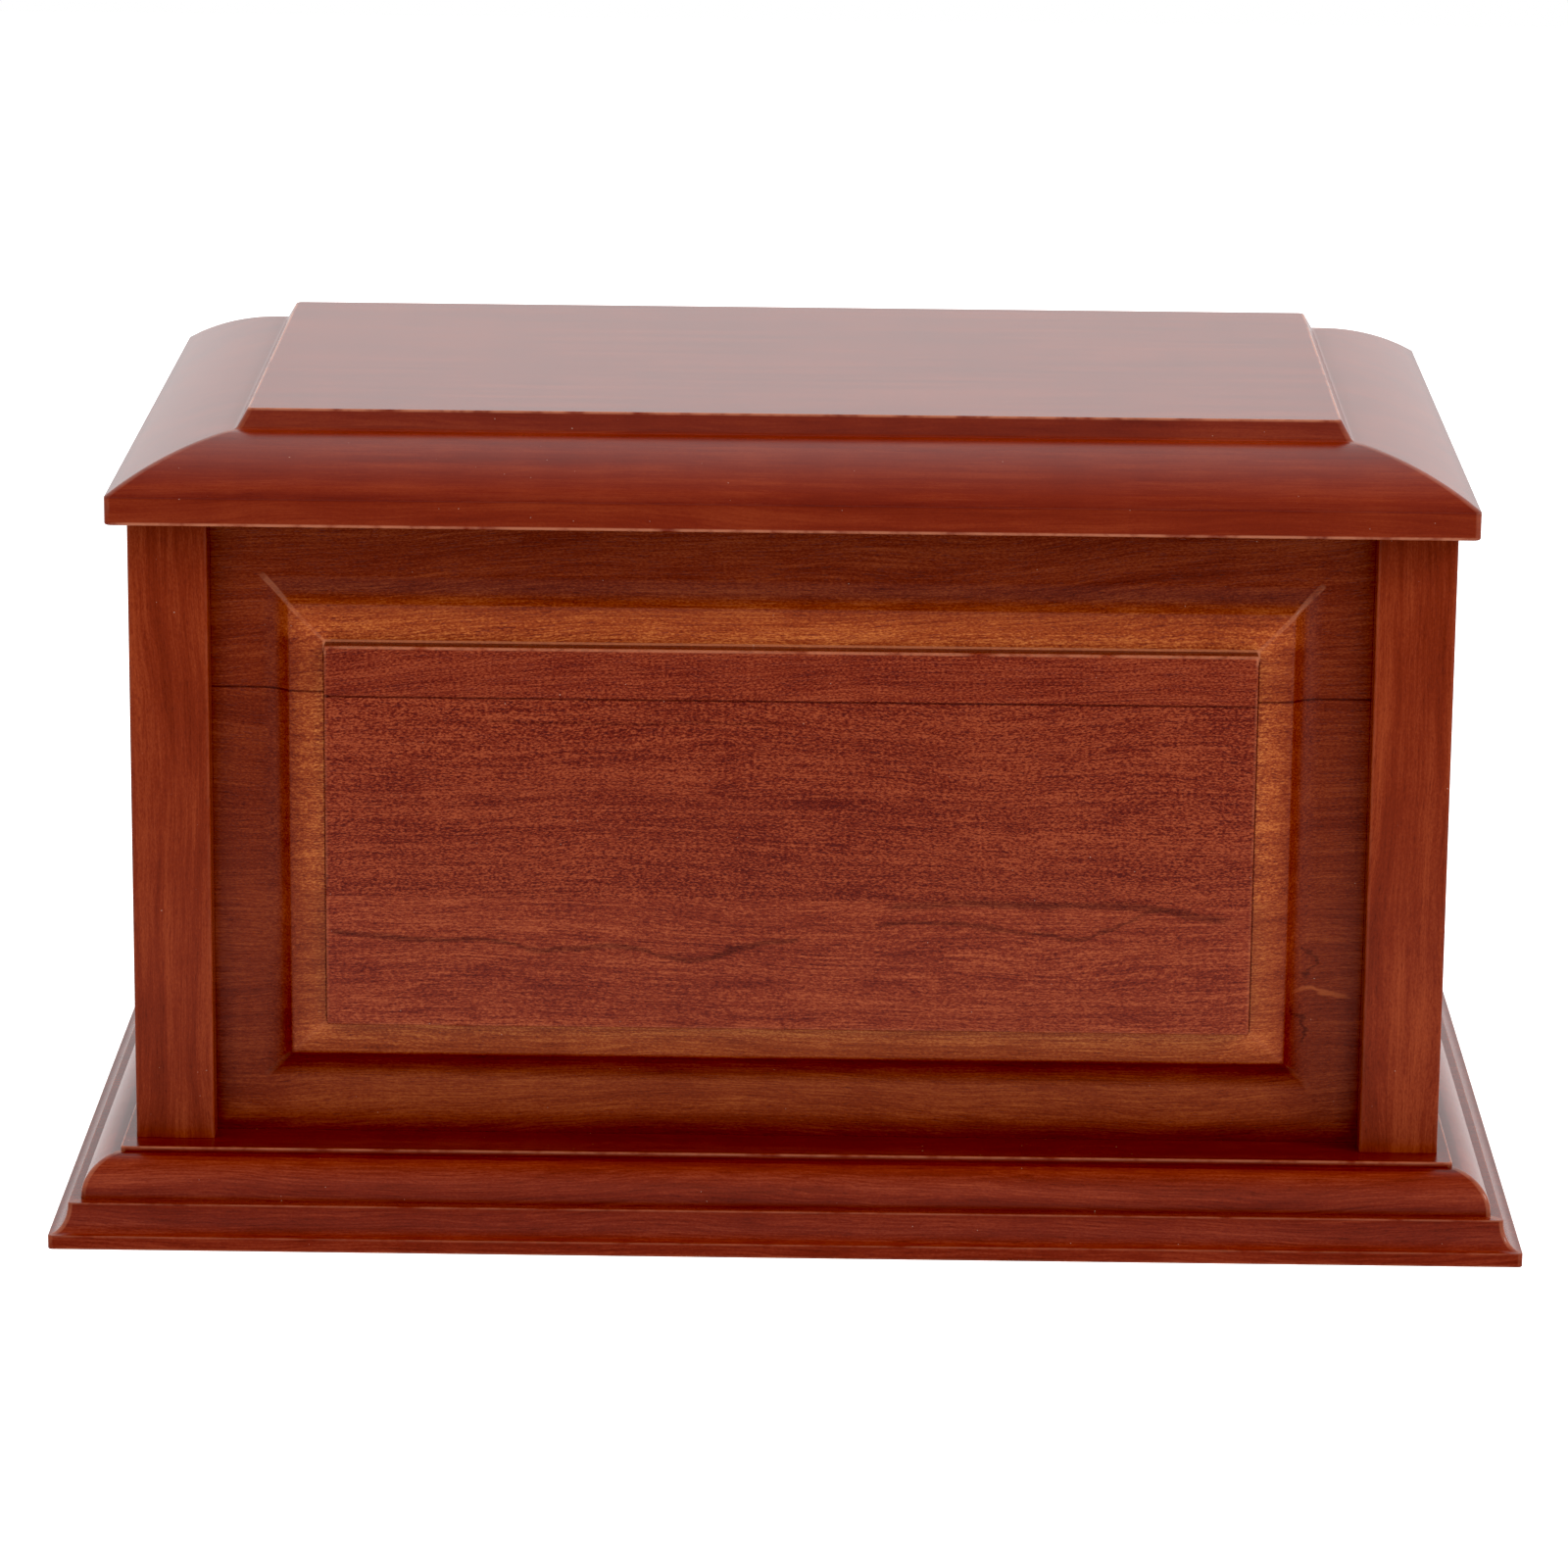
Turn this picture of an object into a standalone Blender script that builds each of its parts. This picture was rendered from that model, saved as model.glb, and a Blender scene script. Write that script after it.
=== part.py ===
"""A wooden cremation urn: a box of corner posts and raised panels between a moulded base and a lid.

Left to right is X, front to back is Y with the front at -Y, and Z is up. The origin is the
middle of the base's underside. The box is empty, and the lid lifts off.
"""

import math

import bmesh
import bpy

MM = 0.001

# Box
BODY_WIDTH = 249.6 * MM         # over the corner posts, left to right
BODY_DEPTH = 147.6 * MM         # over the corner posts, front to back
WALL_HEIGHT = 121.0 * MM        # length of the posts and height of the panels
DEPTH_REACH = 3.35 * MM         # how much further the base and lid reach at front and back than at the ends
POST_SIZE = 15.0 * MM           # side of a square post, and so the thickness of the walls
POST_ARRIS = 0.6 * MM           # rounding of a post's long edges
TOUCH_GAP = 0.3 * MM            # between faces that are glued or rest on each other

# Raised panels
MARGIN_RECESS = 6.4 * MM        # flat margin behind the posts' outer faces
FIELD_RISE = 0.6 * MM           # raised field in front of the posts' outer faces
SIDE_BORDER = 21.5 * MM         # panel's edge to the field, left and right
TOP_BORDER = 23.75 * MM         # panel's edge to the field, above
BOTTOM_BORDER = 22.95 * MM      # panel's edge to the field, below
FIELD_STEP = 3.7 * MM           # height of the upright step round the field
FIELD_ARRIS = 0.35 * MM         # rounding of the step's edge
CROWN_WIDTH = 6.4 * MM          # the ogee's gentle outward curve, next to the step
CROWN_SLOPE = math.radians(9.0)     # slope that the crown ends with
ROLL_RADIUS = 1.6 * MM          # tight outward curve between the crown and the hollow
COVE_SLOPE = math.radians(46.0)     # steepest slope, where the hollow next to the margin starts

# Base moulding, from the floor up
FOOT_HEIGHT = 2.75 * MM
FOOT_ARRIS = 0.5 * MM           # rounding of the foot's upper edge
FOOT_LEDGE = 0.4 * MM           # flat between the foot and the hollow
HOLLOW_WIDTH = 3.1 * MM
HOLLOW_HEIGHT = 5.4 * MM
HOLLOW_LEDGE = 2.25 * MM        # flat between the hollow and the riser
RISER_HEIGHT = 0.55 * MM
OVOLO_RADIUS = 6.95 * MM
STEP_HEIGHT = 0.95 * MM         # upright between the ovolo and the base's top face
STEP_REACH = 2.5 * MM           # base's top face beyond the posts, at the ends
LEDGE_ARRIS = 0.25 * MM         # rounding of the moulding's crisp edges

# Lid
LID_OVERHANG = 3.5 * MM         # beyond the posts, at the ends
LID_EDGE_HEIGHT = 5.45 * MM
LID_ARRIS = 0.5 * MM            # rounding of the lid's two outer edges
HIP_RUN = 22.0 * MM             # curved slope, measured level
HIP_RISE = 8.6 * MM
HIP_TOP_SLOPE = math.radians(8.0)
SLAB_FLAT = 0.7 * MM            # flat between the slope and the slab
SLAB_RUN = 2.1 * MM             # lean of the slab's edge
SLAB_HEIGHT = 3.65 * MM
SLAB_COVE = 0.9 * MM            # hollow at the slab's foot
SLAB_ARRIS = 0.5 * MM           # rounding of the slab's top edge
TONGUE_DEPTH = 3.0 * MM         # how far the lid's underside drops into the box
TONGUE_CLEARANCE = 0.5 * MM     # between that tongue and the walls

# Fineness of curves
BIG_CURVE_STEPS = 14
ROLL_STEPS = 6
SMALL_CURVE_STEPS = 3

BASE_TOP = FOOT_HEIGHT + HOLLOW_HEIGHT + RISER_HEIGHT + OVOLO_RADIUS + STEP_HEIGHT
WALL_BOTTOM = BASE_TOP + TOUCH_GAP
WALL_TOP = WALL_BOTTOM + WALL_HEIGHT
LID_BOTTOM = WALL_TOP + TOUCH_GAP


def clear_scene():
    """Remove every object that the file opened with."""
    for old in list(bpy.data.objects):
        bpy.data.objects.remove(old, do_unlink=True)


def quarter(centre, radii, start_degrees, end_degrees, steps=BIG_CURVE_STEPS):
    """Points of an elliptical quarter, from one angle to the other."""
    points = []
    for step in range(steps + 1):
        angle = math.radians(start_degrees + (end_degrees - start_degrees) * step / steps)
        points.append((centre[0] + radii[0] * math.cos(angle), centre[1] + radii[1] * math.sin(angle)))
    return points


def rounded(before, corner, after, radius, steps=SMALL_CURVE_STEPS):
    """Points of the arc that rounds a corner between two neighbouring points."""
    to_before = (before[0] - corner[0], before[1] - corner[1])
    to_after = (after[0] - corner[0], after[1] - corner[1])
    reach_before = math.hypot(*to_before)
    reach_after = math.hypot(*to_after)
    unit_before = (to_before[0] / reach_before, to_before[1] / reach_before)
    unit_after = (to_after[0] / reach_after, to_after[1] / reach_after)
    half_angle = 0.5 * math.acos(unit_before[0] * unit_after[0] + unit_before[1] * unit_after[1])
    tangent = min(radius / math.tan(half_angle), 0.45 * reach_before, 0.45 * reach_after)
    arc_radius = tangent * math.tan(half_angle)
    middle = (unit_before[0] + unit_after[0], unit_before[1] + unit_after[1])
    middle_length = math.hypot(*middle)
    to_centre = arc_radius / math.sin(half_angle) / middle_length
    centre = (corner[0] + middle[0] * to_centre, corner[1] + middle[1] * to_centre)
    first = math.atan2(corner[1] + unit_before[1] * tangent - centre[1],
                       corner[0] + unit_before[0] * tangent - centre[0])
    last = math.atan2(corner[1] + unit_after[1] * tangent - centre[1],
                      corner[0] + unit_after[0] * tangent - centre[0])
    turn = (last - first + math.pi) % (2 * math.pi) - math.pi
    return [(centre[0] + arc_radius * math.cos(first + turn * step / steps),
             centre[1] + arc_radius * math.sin(first + turn * step / steps)) for step in range(steps + 1)]


def arc_with_end_slope(start, run, rise, end_slope, steps=BIG_CURVE_STEPS):
    """Points of the arc that climbs inwards from start and ends at a given slope."""
    chord_slope = math.atan2(rise, run)
    start_slope = 2 * chord_slope - end_slope
    radius = math.hypot(run, rise) / 2 / math.sin(chord_slope - end_slope)
    points = []
    for step in range(steps + 1):
        slope = start_slope + (end_slope - start_slope) * step / steps
        points.append((start[0] - radius * (math.sin(start_slope) - math.sin(slope)),
                       start[1] + radius * (math.cos(slope) - math.cos(start_slope))))
    return points


def base_section():
    """The base's edge from the floor up, as (reach beyond the posts, height)."""
    step_foot = STEP_REACH
    riser = step_foot + OVOLO_RADIUS
    hollow_top = riser + HOLLOW_LEDGE
    hollow_foot = hollow_top + HOLLOW_WIDTH
    foot = hollow_foot + FOOT_LEDGE
    hollow_height = FOOT_HEIGHT + HOLLOW_HEIGHT
    ovolo_height = hollow_height + RISER_HEIGHT
    step_height = ovolo_height + OVOLO_RADIUS
    hollow = quarter((hollow_foot, hollow_height), (HOLLOW_WIDTH, HOLLOW_HEIGHT), 270, 180)
    ovolo = quarter((step_foot, ovolo_height), (OVOLO_RADIUS, OVOLO_RADIUS), 0, 90)
    points = rounded((0, 0), (foot, 0), (foot, FOOT_HEIGHT), LEDGE_ARRIS)
    points += rounded((foot, 0), (foot, FOOT_HEIGHT), (hollow_foot, FOOT_HEIGHT), FOOT_ARRIS)
    points += hollow[:-1]
    points += rounded(hollow[-2], hollow[-1], (riser, hollow_height), LEDGE_ARRIS)
    points.append((riser, hollow_height))
    points += ovolo
    points += rounded((step_foot, step_height), (step_foot, BASE_TOP), (0, BASE_TOP), LEDGE_ARRIS)
    return points


def tongue_section():
    """The step under the lid that drops between the walls, in the same terms as the base's edge."""
    tongue = -(POST_SIZE + TONGUE_CLEARANCE)
    return [(tongue, LID_BOTTOM - TONGUE_DEPTH), (tongue, LID_BOTTOM)]


def lid_section():
    """The lid's edge, hip and slab from its underside up, as (reach beyond the posts, height)."""
    edge_top = LID_BOTTOM + LID_EDGE_HEIGHT
    hip = arc_with_end_slope((LID_OVERHANG, edge_top), HIP_RUN, HIP_RISE, HIP_TOP_SLOPE)
    slab_foot = (hip[-1][0] - SLAB_FLAT, hip[-1][1])
    slab_top = (slab_foot[0] - SLAB_RUN, slab_foot[1] + SLAB_HEIGHT)
    points = rounded((0.0, LID_BOTTOM), (LID_OVERHANG, LID_BOTTOM), (LID_OVERHANG, edge_top), LID_ARRIS)
    points += rounded((LID_OVERHANG, LID_BOTTOM), hip[0], hip[1], LID_ARRIS)
    points += hip[1:]
    points += rounded(hip[-1], slab_foot, slab_top, SLAB_COVE)
    points += rounded(slab_foot, slab_top, (slab_top[0] - SLAB_HEIGHT, slab_top[1]), SLAB_ARRIS)
    return points


def ogee_section():
    """The ogee from the margin up to the field's step, as (distance from the field, height)."""
    drop = MARGIN_RECESS + FIELD_RISE - FIELD_STEP
    crown_radius = CROWN_WIDTH / math.sin(CROWN_SLOPE)
    crown_foot = drop - crown_radius * (1 - math.cos(CROWN_SLOPE))
    roll_foot = crown_foot - ROLL_RADIUS * (math.cos(CROWN_SLOPE) - math.cos(COVE_SLOPE))
    roll_width = ROLL_RADIUS * (math.sin(COVE_SLOPE) - math.sin(CROWN_SLOPE))
    cove_radius = roll_foot / (1 - math.cos(COVE_SLOPE))
    width = CROWN_WIDTH + roll_width + cove_radius * math.sin(COVE_SLOPE)
    points = []
    for step in range(BIG_CURVE_STEPS):
        slope = COVE_SLOPE * step / BIG_CURVE_STEPS
        points.append((width - cove_radius * math.sin(slope), cove_radius * (1 - math.cos(slope))))
    for step in range(ROLL_STEPS):
        slope = COVE_SLOPE + (CROWN_SLOPE - COVE_SLOPE) * step / ROLL_STEPS
        points.append((CROWN_WIDTH + ROLL_RADIUS * (math.sin(slope) - math.sin(CROWN_SLOPE)),
                       crown_foot - ROLL_RADIUS * (math.cos(CROWN_SLOPE) - math.cos(slope))))
    for step in range(BIG_CURVE_STEPS + 1):
        slope = CROWN_SLOPE * (1 - step / BIG_CURVE_STEPS)
        points.append((crown_radius * math.sin(slope), drop - crown_radius * (1 - math.cos(slope))))
    return points


def bevel_section():
    """The plain bevel that stands in for the ogee on the back, as wide and as high."""
    ogee = ogee_section()
    return [ogee[0], ogee[-1]]


def solid_of_rings(name, rings, cut_corner=0.0):
    """Closed mesh through nested rectangles (left, right, front, back, height), lowest first."""
    shape = bmesh.new()
    loops = []
    for left, right, front, back, height in rings:
        corners = [(left, front), (right, front), (right, back), (left, back)]
        loops.append([shape.verts.new((x, y, height)) for x, y in corners])
    shape.faces.new(reversed(loops[0]))
    for lower, upper in zip(loops, loops[1:]):
        for side in range(4):
            after = (side + 1) % 4
            shape.faces.new((lower[side], lower[after], upper[after], upper[side]))
    shape.faces.new(loops[-1])
    if cut_corner:
        upright = [edge for edge in shape.edges if abs(edge.verts[0].co.z - edge.verts[1].co.z) > cut_corner]
        bmesh.ops.bevel(shape, geom=upright, offset=cut_corner, segments=SMALL_CURVE_STEPS, profile=0.5,
                        affect="EDGES")
    mesh = bpy.data.meshes.new(name)
    shape.to_mesh(mesh)
    shape.free()
    return mesh


def stained_wood(name, colour, roughness):
    """Lacquered wood of one colour."""
    material = bpy.data.materials.new(name)
    material.use_nodes = True
    shader = material.node_tree.nodes["Principled BSDF"]
    shader.inputs["Base Color"].default_value = (*colour, 1.0)
    shader.inputs["Roughness"].default_value = roughness
    shader.inputs["Metallic"].default_value = 0.0
    return material


def add_piece(name, mesh, material, parent, location=(0.0, 0.0, 0.0), turn=(0.0, 0.0, 0.0)):
    """Put a mesh in the scene as one named piece of the urn."""
    piece = bpy.data.objects.new(name, mesh)
    piece.data.materials.append(material)
    piece.location = location
    piece.rotation_euler = turn
    piece.parent = parent
    bpy.context.scene.collection.objects.link(piece)
    return piece


def around_body(section, further=0.0):
    """Rectangles round the body for an edge's section, which reaches further at front and back."""
    half_width = BODY_WIDTH / 2
    half_depth = BODY_DEPTH / 2 + further
    return [(-half_width - reach, half_width + reach, -half_depth - reach, half_depth + reach, height)
            for reach, height in section]


def make_base(urn):
    """The board that the box stands on, moulded on all four edges."""
    wood = stained_wood("base_wood", (0.170, 0.022, 0.006), 0.32)
    add_piece("base", solid_of_rings("base", around_body(base_section(), DEPTH_REACH)), wood, urn)


def make_lid(urn):
    """The lid, one board shaped to a curved hip round a low slab."""
    wood = stained_wood("lid_wood", (0.200, 0.028, 0.007), 0.30)
    rings = around_body(tongue_section()) + around_body(lid_section(), DEPTH_REACH)
    add_piece("lid", solid_of_rings("lid", rings), wood, urn)


def make_posts(urn):
    """Four square corner posts."""
    half = POST_SIZE / 2
    rings = [(-half, half, -half, half, 0.0), (-half, half, -half, half, WALL_HEIGHT)]
    for side, x_sign in (("left", -1), ("right", 1)):
        for end, y_sign in (("front", -1), ("back", 1)):
            name = f"post_{end}_{side}"
            wood = stained_wood(name + "_wood", (0.215, 0.032, 0.008), 0.34)
            mesh = solid_of_rings(name, rings, POST_ARRIS)
            place = (x_sign * (BODY_WIDTH / 2 - half), y_sign * (BODY_DEPTH / 2 - half), WALL_BOTTOM)
            add_piece(name, mesh, wood, urn, place)


def panel_rings(width, section):
    """Rectangles of a raised panel lying on its inside face, with its foot at -Y."""
    right = width / 2
    top = WALL_HEIGHT / 2
    margin = POST_SIZE - MARGIN_RECESS
    field = POST_SIZE + FIELD_RISE
    field_right = right - SIDE_BORDER
    field_top = top - TOP_BORDER
    field_bottom = BOTTOM_BORDER - top
    rings = [(-right, right, -top, top, 0.0), (-right, right, -top, top, margin)]
    step_edge = rounded((0.0, field - FIELD_STEP), (0.0, field), (-FIELD_STEP, field), FIELD_ARRIS)
    for out, height in [(out, margin + rise) for out, rise in section] + step_edge:
        rings.append((-field_right - out, field_right + out, field_bottom - out, field_top + out, height))
    return rings


def make_panels(urn):
    """Four panels between the posts, plainer on the back."""
    front_width = BODY_WIDTH - 2 * (POST_SIZE + TOUCH_GAP)
    side_width = BODY_DEPTH - 2 * (POST_SIZE + TOUCH_GAP)
    inner_x = BODY_WIDTH / 2 - POST_SIZE
    inner_y = BODY_DEPTH / 2 - POST_SIZE
    middle = WALL_BOTTOM + WALL_HEIGHT / 2
    upright = math.pi / 2
    panels = [
        ("panel_front", front_width, ogee_section(), (0.0, -inner_y, middle), 0.0),
        ("panel_right", side_width, ogee_section(), (inner_x, 0.0, middle), math.pi / 2),
        ("panel_back", front_width, bevel_section(), (0.0, inner_y, middle), math.pi),
        ("panel_left", side_width, ogee_section(), (-inner_x, 0.0, middle), -math.pi / 2),
    ]
    for name, width, section, place, turn in panels:
        wood = stained_wood(name + "_wood", (0.195, 0.030, 0.010), 0.33)
        mesh = solid_of_rings(name, panel_rings(width, section))
        add_piece(name, mesh, wood, urn, place, (upright, 0.0, turn))


def build():
    """Model the whole urn under one parent."""
    clear_scene()
    urn = bpy.data.objects.new("urn", None)
    bpy.context.scene.collection.objects.link(urn)
    make_base(urn)
    make_posts(urn)
    make_panels(urn)
    make_lid(urn)
    bpy.context.view_layer.update()


build()
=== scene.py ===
"""Looks of a wooden cremation urn: fine mouldings, stained and lacquered wood, and a pale studio.

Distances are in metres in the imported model's own frame: X runs left to right, the front is at
-Y, Z is up, and the origin is the middle of the base's underside.
"""

import logging
import math
from dataclasses import dataclass, replace
from enum import Enum

import bpy
from mathutils import Matrix, Vector


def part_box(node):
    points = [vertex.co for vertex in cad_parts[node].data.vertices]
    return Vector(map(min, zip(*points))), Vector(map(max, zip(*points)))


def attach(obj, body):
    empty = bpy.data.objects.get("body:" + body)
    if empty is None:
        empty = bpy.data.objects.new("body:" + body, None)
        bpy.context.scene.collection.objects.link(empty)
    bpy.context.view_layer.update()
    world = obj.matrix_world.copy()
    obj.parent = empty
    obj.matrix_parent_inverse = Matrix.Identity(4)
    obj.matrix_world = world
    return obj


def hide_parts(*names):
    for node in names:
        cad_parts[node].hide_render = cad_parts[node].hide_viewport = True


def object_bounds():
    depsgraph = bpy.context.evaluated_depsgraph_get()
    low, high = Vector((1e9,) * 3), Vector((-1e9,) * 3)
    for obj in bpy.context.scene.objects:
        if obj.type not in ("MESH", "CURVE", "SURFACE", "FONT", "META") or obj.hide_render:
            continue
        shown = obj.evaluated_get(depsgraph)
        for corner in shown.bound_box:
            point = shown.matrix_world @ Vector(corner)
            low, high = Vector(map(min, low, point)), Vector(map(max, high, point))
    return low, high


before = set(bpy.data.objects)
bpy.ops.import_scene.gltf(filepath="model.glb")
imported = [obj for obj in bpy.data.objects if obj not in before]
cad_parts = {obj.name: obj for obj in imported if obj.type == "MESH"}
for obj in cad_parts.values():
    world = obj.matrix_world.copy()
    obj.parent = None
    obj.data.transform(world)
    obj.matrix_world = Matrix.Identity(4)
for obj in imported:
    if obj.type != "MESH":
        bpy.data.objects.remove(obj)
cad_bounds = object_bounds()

MM = 0.001
BODY = "root"
FIRST_SEED = 40.0                   # picks the first post's wood
SEED_STEP = 7.0                     # from one post or panel to the next

Colour = tuple[float, float, float]
Point = tuple[float, float]
Table = tuple[Point, ...]           # places in order, each with its brightness

log = logging.getLogger("urn")


class Value:
    """A number that varies over a surface: one node socket, whose arithmetic adds Math nodes."""

    def __init__(self, graph: "Graph", socket: bpy.types.NodeSocket) -> None:
        """Wrap one output socket of a graph."""
        self.graph = graph
        self.socket = socket

    def math(self, operation: str, *others: "Value | float", clamp: bool = False) -> "Value":
        """Add one Math node that starts from this value.

        Args:
            operation: the Math node's operation.
            others: the operation's further values.
            clamp: whether the result stays between 0 and 1.

        Returns:
            The node's result.
        """
        sockets = dict(enumerate((self, *others)))
        node = self.graph.add("ShaderNodeMath", {"operation": operation, "use_clamp": clamp}, sockets)
        return Value(self.graph, node.outputs[0])

    def __add__(self, other: "Value | float") -> "Value":
        """Sum."""
        return self.math("ADD", other)

    __radd__ = __add__

    def __mul__(self, other: "Value | float") -> "Value":
        """Product."""
        return self.math("MULTIPLY", other)

    __rmul__ = __mul__

    def __sub__(self, other: "Value | float") -> "Value":
        """Difference."""
        return self.math("SUBTRACT", other)

    def __rsub__(self, other: float) -> "Value":
        """A plain number less this value."""
        return self * -1.0 + other

    def clamped(self) -> "Value":
        """This value kept between 0 and 1."""
        return self.math("ADD", 0.0, clamp=True)

    def over(self, other: "Value | float") -> "Value":
        """The larger of this value and another."""
        return self.math("MAXIMUM", other)

    def ramp(self, low: float, high: float, to_low: float = 0.0, to_high: float = 1.0) -> "Value":
        """Ease from one result to another while this value goes from low to high.

        Args:
            low: where the change starts.
            high: where the change ends, which may be below low.
            to_low: the result at low and beyond it.
            to_high: the result at high and beyond it.

        Returns:
            The eased result.
        """
        if high < low:
            low, high, to_low, to_high = high, low, to_high, to_low
        settings = {"interpolation_type": "SMOOTHSTEP"}
        inputs = {0: self, 1: low, 2: high, 3: to_low, 4: to_high}
        return Value(self.graph, self.graph.add("ShaderNodeMapRange", settings, inputs).outputs[0])

    def band(self, edges: tuple[float, float, float, float]) -> "Value":
        """Ease from 0 up to 1 between the first two edges, and back to 0 between the last two."""
        return self.ramp(edges[0], edges[1]) * self.ramp(edges[3], edges[2])


Input = Value | bpy.types.NodeSocket | float | tuple[float, ...]


class Graph:
    """The nodes of one material or world."""

    MIX_FACTOR, MIX_A, MIX_B, MIX_RESULT = 0, 6, 7, 2

    def __init__(self, tree: bpy.types.NodeTree) -> None:
        """Empty a node tree and build on it."""
        self.tree = tree
        tree.nodes.clear()

    @classmethod
    def of_material(cls, name: str) -> tuple[bpy.types.Material, "Graph"]:
        """Start a new material.

        Args:
            name: the material's name.

        Returns:
            The material and its empty graph.
        """
        material = bpy.data.materials.new(name)
        material.use_nodes = True
        return material, cls(material.node_tree)

    def shade(self, inputs: dict) -> None:
        """End a material's graph in one shader with these inputs."""
        shader = self.add("ShaderNodeBsdfPrincipled", None, inputs)
        self.add("ShaderNodeOutputMaterial", None, {"Surface": shader.outputs[0]})

    def add(self, kind: str, settings: dict | None = None, inputs: dict | None = None) -> bpy.types.Node:
        """Add one node.

        Args:
            kind: Blender's name for the node's type.
            settings: the node's own properties, set first. "stops" fills a colour ramp.
            inputs: a value or a link for each socket, by its name or number.

        Returns:
            The node.
        """
        node = self.tree.nodes.new(kind)
        for name, setting in (settings or {}).items():
            if name == "stops":
                self.fill_ramp(node.color_ramp, setting)
            else:
                setattr(node, name, setting)
        for key, value in (inputs or {}).items():
            source = value.socket if isinstance(value, Value) else value
            if isinstance(source, bpy.types.NodeSocket):
                self.tree.links.new(source, node.inputs[key])
            else:
                node.inputs[key].default_value = source
        return node

    @staticmethod
    def fill_ramp(ramp: bpy.types.ColorRamp, stops: list[tuple[float, Colour]]) -> None:
        """Give a colour ramp its stops.

        Args:
            ramp: the ramp to fill.
            stops: places from 0 to 1, each with its colour.
        """
        while len(ramp.elements) > len(stops):
            ramp.elements.remove(ramp.elements[-1])
        while len(ramp.elements) < len(stops):
            ramp.elements.new(1.0)
        for element, (place, colour) in zip(ramp.elements, stops):
            element.position = place
            element.color = (*colour, 1.0)

    def curve(self, value: Value, points: tuple[Point, ...]) -> Value:
        """Follow a smooth curve through points.

        Args:
            value: how far along the curve, from the first point's place to the last one's.
            points: places along the curve in order, each with the curve's height there.

        Returns:
            The curve's height.
        """
        first, last = points[0][0], points[-1][0]
        low = min(height for _, height in points)
        high = max(height for _, height in points)
        node = self.add("ShaderNodeFloatCurve", None, {"Value": (value - first) * (1.0 / (last - first))})
        line = node.mapping.curves[0]
        for _ in points[2:]:
            line.points.new(0.5, 0.5)
        for point, (place, height) in zip(line.points, points):
            point.location = ((place - first) / (last - first), (height - low) / (high - low))
        node.mapping.update()
        return Value(self, node.outputs[0]) * (high - low) + low

    def colour_ramp(self, value: Value, stops: list[tuple[float, Colour]]) -> bpy.types.NodeSocket:
        """Turn a value into a colour.

        Args:
            value: a value from 0 to 1.
            stops: places from 0 to 1, each with its colour.

        Returns:
            The colour socket.
        """
        return self.add("ShaderNodeValToRGB", {"stops": stops}, {0: value}).outputs[0]

    def mix(self, factor: Input, first: Input, second: Input, blend: str = "MIX") -> bpy.types.NodeSocket:
        """Mix two colours.

        Args:
            factor: how much of the second colour shows.
            first: the colour below.
            second: the colour above.
            blend: the Mix node's blend type.

        Returns:
            The colour socket.
        """
        settings = {"data_type": "RGBA", "blend_type": blend}
        inputs = {self.MIX_FACTOR: factor, self.MIX_A: first, self.MIX_B: second}
        return self.add("ShaderNodeMix", settings, inputs).outputs[self.MIX_RESULT]

    def noise(self, vector: Input, detail: float, roughness: float, seed: float) -> Value:
        """Soft noise from 0 to 1, centred on one half, with features about one unit of its vector wide.

        Args:
            vector: where to read the noise.
            detail: how many finer layers are added.
            roughness: how strong the finer layers are.
            seed: picks one noise of many.

        Returns:
            The noise.
        """
        settings = {"noise_dimensions": "4D"}
        inputs = {"Vector": vector, "W": seed, "Scale": 1.0, "Detail": detail, "Roughness": roughness}
        return Value(self, self.add("ShaderNodeTexNoise", settings, inputs).outputs[0])

    def vector(self, x: Value | float, y: Value | float, z: Value | float) -> bpy.types.NodeSocket:
        """Join three values into a vector."""
        return self.add("ShaderNodeCombineXYZ", None, {0: x, 1: y, 2: z}).outputs[0]

    def vector_math(self, operation: str, *vectors: Input) -> bpy.types.Node:
        """Add one Vector Math node."""
        return self.add("ShaderNodeVectorMath", {"operation": operation}, dict(enumerate(vectors)))

    def scaled(self, vector: Input, factors: tuple[float, float, float]) -> bpy.types.NodeSocket:
        """Stretch a vector by one factor along each axis."""
        return self.vector_math("MULTIPLY", vector, factors).outputs[0]

    def attribute(self, name: str) -> Value:
        """Read a number that the mesh keeps at its points."""
        return Value(self, self.add("ShaderNodeAttribute", {"attribute_name": name}).outputs["Fac"])

    def parts(self, vector: Input) -> tuple[Value, Value, Value]:
        """Part a vector into its three values."""
        node = self.add("ShaderNodeSeparateXYZ", None, {0: vector})
        return tuple(Value(self, socket) for socket in node.outputs)


class Grain(Enum):
    """Which way a piece's grain runs, as the order in which X, Y and Z are read: along, across, deep."""

    LEFT_TO_RIGHT = (0, 2, 1)
    FRONT_TO_BACK = (1, 2, 0)
    UPRIGHT = (2, 0, 1)


@dataclass(frozen=True)
class Spot:
    """A soft patch of lighter or darker wood on an upright face, in millimetres of the urn's frame."""

    x: float
    z: float
    width: float
    height: float
    strength: float                 # above zero is lighter, below zero is darker


@dataclass(frozen=True)
class Stroke:
    """A wavy line in the wood of an upright face, in millimetres of the urn's frame."""

    points: tuple[Point, ...]       # along the line in order: x and z, or z and x where it is upright
    width: float
    strength: float
    upright: bool = False
    colour: Colour = (0.30, 0.20, 0.22)
    blend: str = "MULTIPLY"


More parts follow.
